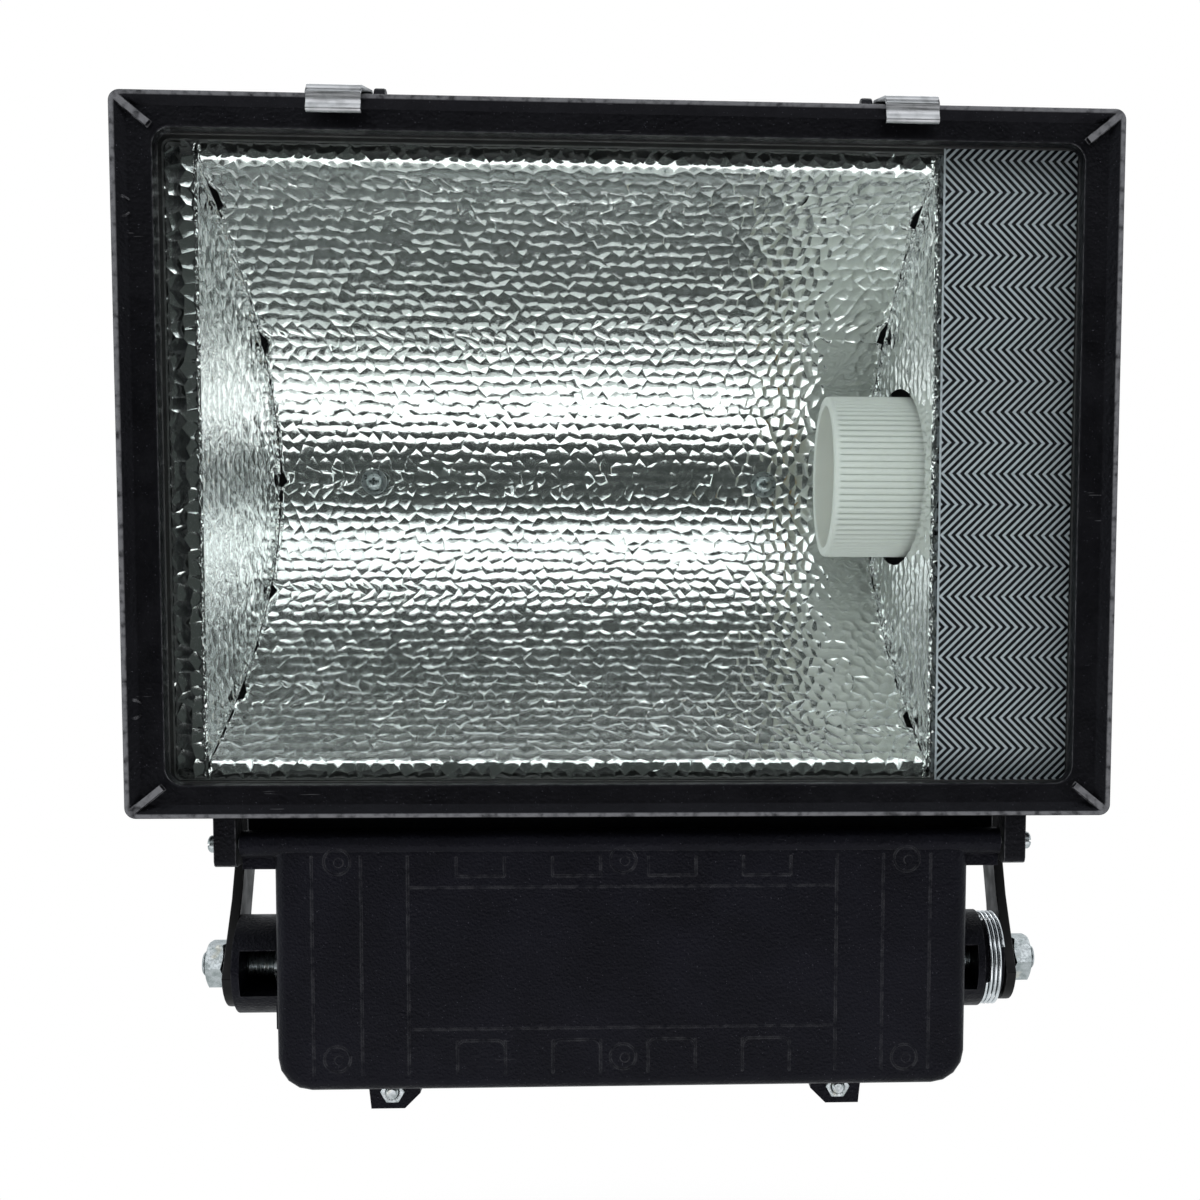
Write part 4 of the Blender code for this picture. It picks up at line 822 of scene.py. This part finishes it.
def small_screws():
    """Pan heads with a cross recess: four hold the glass clips and four the gear box's cover."""
    names = [n for n in frame["nodes"] if n.startswith(("glass_clip_screw", "gear_cover_screw"))]
    for node in sorted(names):
        low, high = lamp_box(node)
        x, z = (low.x + high.x) / 2, (low.z + high.z) / 2
        radius = (high.x - low.x) / 2
        tall = radius * 0.95 if "cover" in node else 1.6
        shank = radius * 0.5
        base, top = high.y - tall, high.y
        profile = [(0, top), (radius * 0.45, top - tall * 0.04), (radius * 0.78, top - tall * 0.25),
                   (radius * 0.97, top - tall * 0.6), (radius, base), (shank, base)]
        turns = int((base - low.y) / 0.8)
        for n in range(turns):
            y = base - (base - low.y) * n / turns
            profile += [(shank, y - 0.1), (shank * 0.82, y - 0.4)]
        profile += [(shank * 0.8, low.y), (0, low.y)]
        body = frame["nodes"][node]["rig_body"]
        obj = to_object(f"{node}_head", turned_mesh(profile, (x, 0, z), "Y", 32))
        for blade in cross_recess((x, top, z), -1, radius * 0.5, tall * 0.55):
            carve(obj, blade)
        show(obj, zinc_look(), body, [node], 30)


def hex_prism(across, low, high, at, axis):
    """A hexagonal prism from low to high along an axis through a point."""
    middle = Vector(at)
    middle["XYZ".index(axis)] += (low + high) / 2
    return plate_mesh(arc((0, 0), across / math.sqrt(3), 0, 300, 5), high - low, middle, axis)


def nut_object(name, across, low, high, at, axis, bore):
    """A nut: hexagon, chamfered faces and a threaded bore."""
    obj = to_object(name, hex_prism(across, low, high, at, axis))
    flat, corner = across / 2, across / math.sqrt(3) + 0.1
    drop = (corner - flat) * 0.55
    face = flat * 0.97
    shape = [(0, low), (face, low), (corner, low + drop), (corner, high - drop), (face, high), (0, high)]
    carve(obj, turned_mesh(shape, at, axis, 72), "INTERSECT")
    hole = [(0, low - 1), (bore * 1.12, low - 1), (bore * 1.12, low + 0.05), (bore, low + 0.7)]
    hole += [(bore, high - 0.7), (bore * 1.12, high - 0.05), (bore * 1.12, high + 1), (0, high + 1)]
    carve(obj, turned_mesh(hole, at, axis, 48))
    return soften(obj, 0.18, 2, 25)


def threaded(radius, low, high, pitch, tip):
    """Half the outline of a threaded rod: a groove at each pitch, chamfered at the tip."""
    rows = []
    count = int((high - low) / pitch)
    for n in range(count):
        a = low + n * pitch
        rows += [(radius * 0.86, a + pitch * 0.08), (radius, a + pitch * 0.46), (radius, a + pitch * 0.58)]
    rows += [(radius * 0.86, low + count * pitch), (radius * 0.8, high - tip * 0.2), (radius * 0.74, high)]
    return rows


def grooved_rings(rows, around, at, radius_at):
    """Rings about x, one for each (place, radius); radius_at gives each point its own radius."""
    return [[(x, at[1] + radius_at(n, r) * math.cos(2 * math.pi * n / around),
              at[2] + radius_at(n, r) * math.sin(2 * math.pi * n / around)) for n in range(around)]
            for x, r in rows]


def pivot_hardware():
    """Each side's nut, threaded bolt and serrated washer."""
    for side, sign in (("left", -1), ("right", 1)):
        low, high = lamp_box(f"pivot_nut_{side}")
        at = (0, (low.y + high.y) / 2, (low.z + high.z) / 2)
        nut = nut_object(f"pivot_nut_{side}_hex", 17, low.x, high.x, at, "X", 5.0)
        show(nut, zinc_look(), "housing", [f"pivot_nut_{side}"], 28)
        low, high = lamp_box(f"pivot_bolt_{side}")
        inner, outer = (high.x, low.x) if sign < 0 else (low.x, high.x)
        length = abs(outer - inner)
        head = hex_prism(17, 0, 6.4, (0, 0, 0), "X")
        rows = [(0, 4), *threaded(4.9, 6, length, 1.5, 1.2), (0, length)]
        shank = turned_mesh(rows, (0, 0, 0), "X", 48)
        whole = merged(head, shank)
        bmesh.ops.scale(whole, verts=whole.verts, vec=(sign, 1, 1))
        bmesh.ops.translate(whole, verts=whole.verts, vec=(inner, at[1], at[2]))
        bmesh.ops.recalc_face_normals(whole, faces=whole.faces)
        show(to_object(f"pivot_bolt_{side}_threaded", whole), zinc_look(), "housing",
             [f"pivot_bolt_{side}"], 28)
        low, high = lamp_box(f"pivot_washer_{side}")
        rows = [(low.x, 9.0), (low.x + 0.1, 9.4), (high.x - 0.1, 9.4), (high.x, 9.0), (high.x, 5.3),
                (low.x, 5.3)]
        teeth = grooved_rings(rows, 144, at, lambda n, r: r - (0.7 if r > 6 and n % 4 < 2 else 0))
        washer = to_object(f"pivot_washer_{side}_serrated", ring_mesh(teeth, caps=False))
        show(washer, black_steel_look(), "housing", [f"pivot_washer_{side}"], 28)


def pivot_spring():
    """The bright coil round the right-hand hub."""
    low, high = lamp_box("pivot_spring")
    wire, radius, turns, first = 1.35, 18.2, 3.876, 25.6
    steps = 260
    y, z = 57, -195
    pitch = (high.x - low.x - wire) / turns
    points = []
    for n in range(steps + 1):
        turn = math.radians(first) + 2 * math.pi * turns * n / steps
        points.append((high.x - wire / 2 - pitch * turns * n / steps,
                       y - radius * math.cos(turn), z + radius * math.sin(turn)))
    obj = soften(to_object("pivot_spring_wire", tube_mesh(points, wire / 2, 16)), 0.15, 2, 60)
    look = sheet_metal_look("bright_spring_wire", (0.72, 0.76, 0.78), 0.22, "Y")
    show(obj, look, "housing", ["pivot_spring"], 40)


def cover_nuts():
    for side in ("left", "right"):
        low, high = lamp_box(f"gear_cover_nut_{side}")
        at = ((low.x + high.x) / 2, 0, (low.z + high.z) / 2)
        nut = nut_object(f"gear_cover_nut_{side}_hex", 8, low.y, high.y, at, "Y", 2.5)
        show(nut, zinc_look(), "housing", [f"gear_cover_nut_{side}"], 28)


def hinge_screws():
    for side, sign in (("left", -1), ("right", 1)):
        low, high = lamp_box(f"hinge_screw_{side}")
        outer, inner = (low.x, high.x) if sign < 0 else (high.x, low.x)
        at = (0, (low.y + high.y) / 2, (low.z + high.z) / 2)
        length = abs(outer - inner)
        rows = [(0, 0), (1.3, 0.03), (2.3, 0.2), (2.9, 0.6), (3.2, 1.2), (3.2, 3.0), (2, 3.0), (2, length),
                (0, length)]
        bm = turned_mesh([(r, outer - sign * a) for r, a in rows], at, "X", 40)
        obj = to_object(f"hinge_screw_{side}_head", bm)
        y, z = at[1:]
        carve(obj, block_mesh((outer - 1.1, y - 3.6, z - 0.45), (outer + 1.1, y + 3.6, z + 0.45)))
        show(obj, zinc_look(), "housing", [f"hinge_screw_{side}"], 30)


# ---- lampholder

HOLDER_Y, HOLDER_Z = 63, 0.5
HOLE_RADIUS = 35.2          # of the end plate's hole for the collar
RIBS = 77                   # around the collar


def collar():
    """The holder's ceramic collar, ribbed along its outside."""
    low, high = lamp_box("lampholder_collar")
    mouth, back = low.x, high.x
    rows = [  # radius, place, depth of the grooves
        (22.5, back, 0), (22.5, mouth + 23, 0), (28, mouth + 20, 0), (28, mouth + 0.8, 0),
        (28.4, mouth + 0.2, 0), (28.9, mouth, 0), (30.7, mouth, 0), (31.4, mouth + 0.2, 0),
        (31.8, mouth + 0.7, 0), (31.9, mouth + 1.7, 0), (31.95, mouth + 2.2, 0.5), (32, mouth + 2.8, 0.85),
        (32, back - 1.6, 0.85), (31.6, back - 0.8, 0.5), (31.0, back - 0.2, 0), (30.4, back, 0),
    ]
    around = RIBS * 8
    rings = []
    for radius, x, groove in rows:
        ring = []
        for n in range(around):
            turn = 2 * math.pi * n / around
            r = radius - groove * (1 - abs(math.sin(math.pi * n / 8))) ** 1.4
            ring.append((x, HOLDER_Y + r * math.cos(turn), HOLDER_Z + r * math.sin(turn)))
        rings.append(ring)
    obj = to_object("lampholder_collar_ribbed", ring_mesh(rings, caps=False))
    show(obj, ceramic_look(), "housing", ["lampholder_collar"], 50)


def screw_shell():
    """The brass shell with its rolled thread."""
    low, high = lamp_box("lampholder_shell")
    count = 48
    outer = []
    for n in range(count + 1):
        x = low.x + (high.x - low.x) * n / count
        outer.append((21.35 + 0.6 * math.cos(2 * math.pi * (x - low.x) / 6.35), x))
    inner = [(r - 0.5, x) for r, x in outer[::-1]]
    obj = to_object("lampholder_shell_threaded", turned_mesh(outer + inner, (0, HOLDER_Y, HOLDER_Z), "X", 96))
    brass = plain_look("brass", (0.72, 0.52, 0.24), (0.5, 0.34, 0.13), 0.3, 6, 0.01, 1.0)
    show(obj, brass, "housing", ["lampholder_shell"], 40)


# ---- latches

def strip_mesh(path, thickness, width, x):
    """A bent strip of sheet, seen from its side as a path in y and z."""
    points = [Vector(p) for p in path]
    left, right = [], []
    for n, point in enumerate(points):
        along = (points[min(n + 1, len(points) - 1)] - points[max(n - 1, 0)]).normalized()
        across = Vector((-along.y, along.x)) * thickness / 2
        left.append(tuple(point + across))
        right.append(tuple(point - across))
    return plate_mesh(left + right[::-1], width, (x, 0, 0), "X")


LATCH_X = 101.8
PIN_Y, PIN_Z = 24.5, 134    # the latches' pins


def latches():
    """The two spring clips over the door's upper edge, and their pins."""
    for side in ("left", "right"):
        low, high = lamp_box(f"latch_{side}")
        x = (low.x + high.x) / 2
        path = arc((-2.4, 121.9), 1.0, -60, -180, 10)
        path += arc((-6.2, 124.9), 3.9, -38, 34, 10)[1:]
        path += arc((0.5, 128.9), 1.5, 200, 110, 10)
        path += arc((PIN_Y, PIN_Z), 2.25, 108, -150, 36)
        strip = strip_mesh(path, 0.9, high.x - low.x, x)
        obj = soften(to_object(f"latch_{side}_clip", strip), 0.16, 2, 50)
        look = sheet_metal_look("satin_stainless", (0.5, 0.51, 0.52), 0.4, "X")
        show(obj, look, f"latch_{side}", [f"latch_{side}"], 35)
        low, high = lamp_box(f"latch_pin_{side}")
        pin = [(0, low.x), (1.2, low.x), (1.5, low.x + 0.3), (1.5, high.x - 0.3), (1.2, high.x), (0, high.x)]
        obj = to_object(f"latch_pin_{side}_turned", turned_mesh(pin, (0, PIN_Y, PIN_Z), "X", 32))
        show(obj, zinc_look(), "housing", [f"latch_pin_{side}"], 30)


# ---- castings

TUB = (  # depth, half width, half height, corner radius
    (24, 172, 120.5, 8), (50, 167.5, 112, 14), (74, 163, 95, 16), (95, 157.5, 70, 16), (106, 154.5, 48, 14),
    (112, 150, 30, 10),
)


def tub_rows(inset, steps=5):
    """The chamber's rings with a smooth curve through them."""
    rows = [np.array(row, float) for row in TUB]
    rows = [rows[0] * 2 - rows[1], *rows, rows[-1] * 2 - rows[-2]]
    smooth = []
    for n in range(1, len(rows) - 2):
        a, b, c, d = rows[n - 1:n + 3]
        for k in range(steps):
            t = k / steps
            smooth.append(0.5 * (2 * b + (c - a) * t + (2 * a - 5 * b + 4 * c - d) * t ** 2
                                 + (3 * b - a - 3 * c + d) * t ** 3))
    smooth.append(rows[-2])
    out = []
    for depth, half_x, half_z, radius in smooth:
        outline = rounded(half_x - inset, inset - half_z, half_z - inset, max(radius - inset, 2))
        out.append([(x, depth - inset, z) for x, z in outline])
    return out


FLANGE_FRONT, FLANGE_BACK, SHELF = 19.6, 24, 22.4
FIN_PITCH, FIN_COUNT, FIN_WIDE = 40, 7, 2.6


def lamp_housing():
    """The chamber: a tub with a flange, a foot on the gear box, posts for the latches, and fins."""
    flange = rounded(HALF_WIDE - 3.4, 3.4 - HALF_HIGH, HALF_HIGH - 3.4, 6)
    opening = rounded(164, -113, 113, 4)
    wide = rounded(169, -117.5, 117.5, 6)
    rings = [ring for ring in tub_rows(3) if ring[0][1] > SHELF + 2][::-1]
    for outline, y in ((wide, SHELF), (opening, SHELF), (opening, FLANGE_FRONT), (flange, FLANGE_FRONT),
                       (flange, FLANGE_BACK)):
        rings.append([(x, y, z) for x, z in outline])
    rings += tub_rows(0)
    body = to_object("lamp_housing_casting", ring_mesh(rings, caps=True))
    soften(body, 0.9, 3, 50)
    foot = [(22.5, -136), (70, -136), (70, -96.8), (50, -110.5), (24, -119), (22.5, -119)]
    shapes = [plate_mesh(foot, 283.2, (0, 0, 0), "X")]
    post = [(20.5, 112), (36, 112), (27.9, 134), *arc((PIN_Y, PIN_Z), 3.4, 0, 180, 14)[1:]]
    for x in (-LATCH_X, LATCH_X):
        shapes += [plate_mesh(post, 4.4, (x + end * 12.4, 0, 0), "X") for end in (-1, 1)]
    outer = [(115.5, 26), (114.8, 34), (111.5, 44), (106, 57), (97.5, 73), (86, 86), (72, 99)]
    inner = [(72, 94), (94, 68), (103, 49), (110.5, 27)]
    fin = [(y, -z) for y, z in outer[::-1]] + outer + inner + [(y, -z) for y, z in inner[::-1]]
    for n in range(FIN_COUNT):
        shapes.append(plate_mesh(fin, FIN_WIDE, ((n - FIN_COUNT // 2) * FIN_PITCH, 0, 0), "X"))
    join_into(body, soften(to_object("casting_details", merged(*shapes)), 0.7, 2, 40))
    show(body, black_cast_look(), "housing", ["lamp_housing"], 40)


FACE_Y = 9.5                # the gear box's front
INSERT_LINES = (-115.6, -97.6, -80.4, 79.4, 97, 114.9)
MARKS = ((-106.3, -145.6), (-0.7, -145.4), (105.8, -145.5),
         (-106.9, -219.9), (-0.7, -220), (105.8, -221.4))


def face_marks():
    """What the die left on the gear box's front: insert lines, rounded outlines and ejector marks."""
    shapes = []

    def line(x0, z0, x1, z1, proud, radius=0.42):
        y = FACE_Y - proud + radius
        shapes.append(tube_mesh([(x0, y, z0), (x1, y, z1)], radius, 8))

    for x in INSERT_LINES:
        line(x, -143.5, x, -226, 0.3 if abs(x) < 90 else 0.16)
    for n in range(-3, 5):
        x = n * 17.8 - 9.1
        line(x, -144, x, -151.3, 0.26)
        line(x, -213.4, x, -226, 0.22)
    for low, high in ((-62.5, -44.7), (-26.9, -9.1), (8.7, 26.5), (44.3, 62.1)):
        line(low, -151.3, high, -151.3, 0.26)
        curve = arc((high - 3, -216.4), 3, 0, 90, 6) + arc((low + 3, -216.4), 3, 90, 180, 6)
        shapes.append(tube_mesh([(x, FACE_Y + 0.15, z) for x, z in curve], 0.4, 8))
    for z in (-155.4, -208.9):
        line(-80.4, z, 79.4, z, 0.1)
    front, back = FACE_Y - 0.12, FACE_Y + 0.3
    for x, z in MARKS:
        ring = [(u, FACE_Y + 0.1, v) for u, v in arc((x, z), 4.8, 0, 360, 40)]
        shapes.append(tube_mesh(ring, 0.38, 8))
        dot = [(0, front), (1.6, front), (1.9, back), (0, back)]
        shapes.append(turned_mesh(dot, (x + 0.7, 0, z - 0.4), "Y", 24))
    return merged(*shapes)


def gear_housing():
    obj = soften(cad_copy("gear_housing", "gear_housing_casting"), 0.8, 3, 38)
    join_into(obj, to_object("marks", face_marks()))
    show(obj, gear_look(), "housing", ["gear_housing"], 32)


def softened_copies():
    """CAD pieces whose shape is right and whose edges only need breaking."""
    cast, steel = black_cast_look(), black_steel_look()
    black = plain_look("black_polyamide", (0.018, 0.018, 0.018), (0.028, 0.028, 0.028), 0.42, 8, 0.03)
    zinc = zinc_look()
    for node, look, width in (
        ("gear_cover", cast, 0.7), ("bracket", steel, 0.6), ("cable_gland_nut", black, 0.4),
        ("cable_gland_body", black, 0.3), ("lampholder_bracket", zinc, 0.3),
        *((n, zinc, 0.2) for n in sorted(frame["nodes"]) if n.startswith("glass_clip_") and "screw" not in n),
    ):
        obj = soften(cad_copy(node, f"{node}_finished"), width, 2, 38)
        show(obj, look, frame["nodes"][node]["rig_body"], [node], 34)


def dress_cad():
    """Better materials for the CAD nodes that stay as they are, mostly inside the gear box."""
    silicone = plain_look("black_silicone", (0.022, 0.022, 0.022), (0.014, 0.014, 0.015), 0.6, 10, 0.03)
    white = plain_look("white_moulding", (0.72, 0.72, 0.68), (0.64, 0.64, 0.6), 0.42, 14, 0.02)
    core = layered_look("laminations", (0.3, 0.3, 0.31), (0.06, 0.06, 0.06), 0.7, "Y", 0.45, 0.8)
    coil = layered_look("copper_winding", (0.55, 0.2, 0.07), (0.12, 0.04, 0.02), 0.9, "Z", 0.35, 0.3)
    brass = plain_look("contact_brass", (0.75, 0.56, 0.27), (0.55, 0.38, 0.16), 0.3, 4, 0.01, 1.0)
    zinc, sleeve = zinc_look(), sleeve_look()
    looks = {
        "glass_seal": silicone, "neck_gasket": silicone, "gear_cover_seal": silicone,
        "cable_gland_seal": silicone, "ballast_core": core, "ballast_coil": coil, "ignitor": white,
        "capacitor": white, "terminal_block": white, "gear_tray": zinc, "capacitor_clamp": zinc,
        "lamp_lead_live": sleeve, "lamp_lead_neutral": sleeve, "lampholder_body": ceramic_look(),
        "lampholder_contact": brass,
    }
    for node, look in looks.items():
        mesh = frame["nodes"][node].data
        mesh.materials.clear()
        mesh.materials.append(look.material)


# ---- stage, lights, camera

ROOM_LIGHT = 0.78           # brightness of the room, where the camera doesn't look straight at it


def world():
    """White behind the lamp, and a soft grey room in what reflects."""
    made = bpy.data.worlds.new("studio")
    bpy.context.scene.world = made
    made.use_nodes = True
    nodes = made.node_tree.nodes
    back = nodes["Background"]
    fill(back, Color=(1, 1, 1, 1), Strength=1.0)
    room = nodes.new("ShaderNodeBackground")
    fill(room, Color=(0.93, 0.97, 1.0, 1), Strength=ROOM_LIGHT)
    path = nodes.new("ShaderNodeLightPath")
    show_mix(made.node_tree, path.outputs["Is Camera Ray"], room.outputs[0], back.outputs[0])


def softbox(name, place, wide, high, brightness, colour):
    """An area light, facing the lamp, whose surface has the given brightness."""
    light = bpy.data.lights.new(name, "AREA")
    light.shape = "RECTANGLE"
    light.size, light.size_y = wide, high
    light.energy = brightness * math.pi * wide * high
    light.color = colour
    obj = bpy.data.objects.new(name, light)
    obj.location = ORIGIN + Vector(place)
    obj.rotation_euler = (-Vector(place)).to_track_quat("-Z", "Y").to_euler()
    obj.visible_camera = False
    bpy.context.scene.collection.objects.link(obj)


def flag(name, centre, wide, high):
    """A dark card in front of the lamp, as the darker side of the room that its reflector mirrors."""
    bm = bmesh.new()
    bmesh.ops.create_grid(bm, x_segments=1, y_segments=1, size=0.5)
    obj = to_object(name, bm, 1.0)
    obj.scale = (wide, high, 1)
    obj.rotation_euler = (math.pi / 2, 0, 0)
    obj.location = ORIGIN + Vector(centre)
    look = Look("dark_card", (0.035, 0.038, 0.036), 0.9)
    obj.data.materials.append(look.material)
    obj.visible_camera = False
    obj.visible_shadow = False


def floor():
    """A pale round floor well below the hanging lamp, fading into the white."""
    bm = bmesh.new()
    bmesh.ops.create_circle(bm, cap_ends=True, segments=96, radius=1.7)
    obj = to_object("floor", bm, 1.0)
    obj.location = ORIGIN + Vector((0, 0.05, -0.95))
    look = Look("pale_floor", (0.86, 0.86, 0.85), 0.8)
    far = look.vector("LENGTH", look.mm).node.outputs["Value"]
    clear = look.nodes.new("ShaderNodeBsdfTransparent")
    share = look.step(far, 900, 1690)
    show_mix(look.material.node_tree, share, look.shader.outputs[0], clear.outputs[0])
    obj.data.materials.append(look.material)


def camera():
    """In front of the lamp, a little below and to its left, with a plain view of its colours."""
    bpy.context.scene.view_settings.view_transform = "Standard"
    data = bpy.data.cameras.new("camera")
    data.lens = 45
    data.sensor_width = 36
    data.shift_x, data.shift_y = -0.0717, 0.0808
    data.clip_start = 0.02
    obj = bpy.data.objects.new("camera", data)
    forward = Vector((0.0501, 0.9962, -0.0712)).normalized()
    up = Vector((0, 0.0713, 0.9975))
    right = forward.cross(up).normalized()
    up = right.cross(forward)
    turn = Matrix((right, up, -forward)).transposed().to_4x4()
    obj.matrix_world = Matrix.Translation(ORIGIN + Vector((-5.26, -543.57, -45.04)) * MM) @ turn
    bpy.context.scene.collection.objects.link(obj)
    bpy.context.scene.camera = obj


for build in (door_frame, glass, glass_print, trough, reflector_ends, reflector_screws, small_screws,
              pivot_hardware, pivot_spring, cover_nuts, hinge_screws, collar, screw_shell, latches,
              lamp_housing, gear_housing, softened_copies, dress_cad, world):
    build()
softbox("upper_front", (0, -0.85, 0.95), 1.9, 0.75, 1.0, (1.0, 0.98, 1.0))
softbox("lower_front", (0, -0.66, -0.57), 1.45, 0.46, 1.15, (1.0, 0.95, 0.97))
softbox("left_side", (-1.3, -0.5, 0.15), 0.6, 1.2, 2.2, (0.95, 1.0, 0.98))
softbox("right_side", (1.25, -0.6, 0.1), 0.35, 1.1, 1.5, (1.0, 1.0, 1.0))
softbox("back_top", (0.2, 1.1, 1.1), 1.4, 0.8, 2.4, (1, 1, 1))
flag("front_card", (0, -1.3, 0.0), 2.6, 1.25)
floor()
camera()
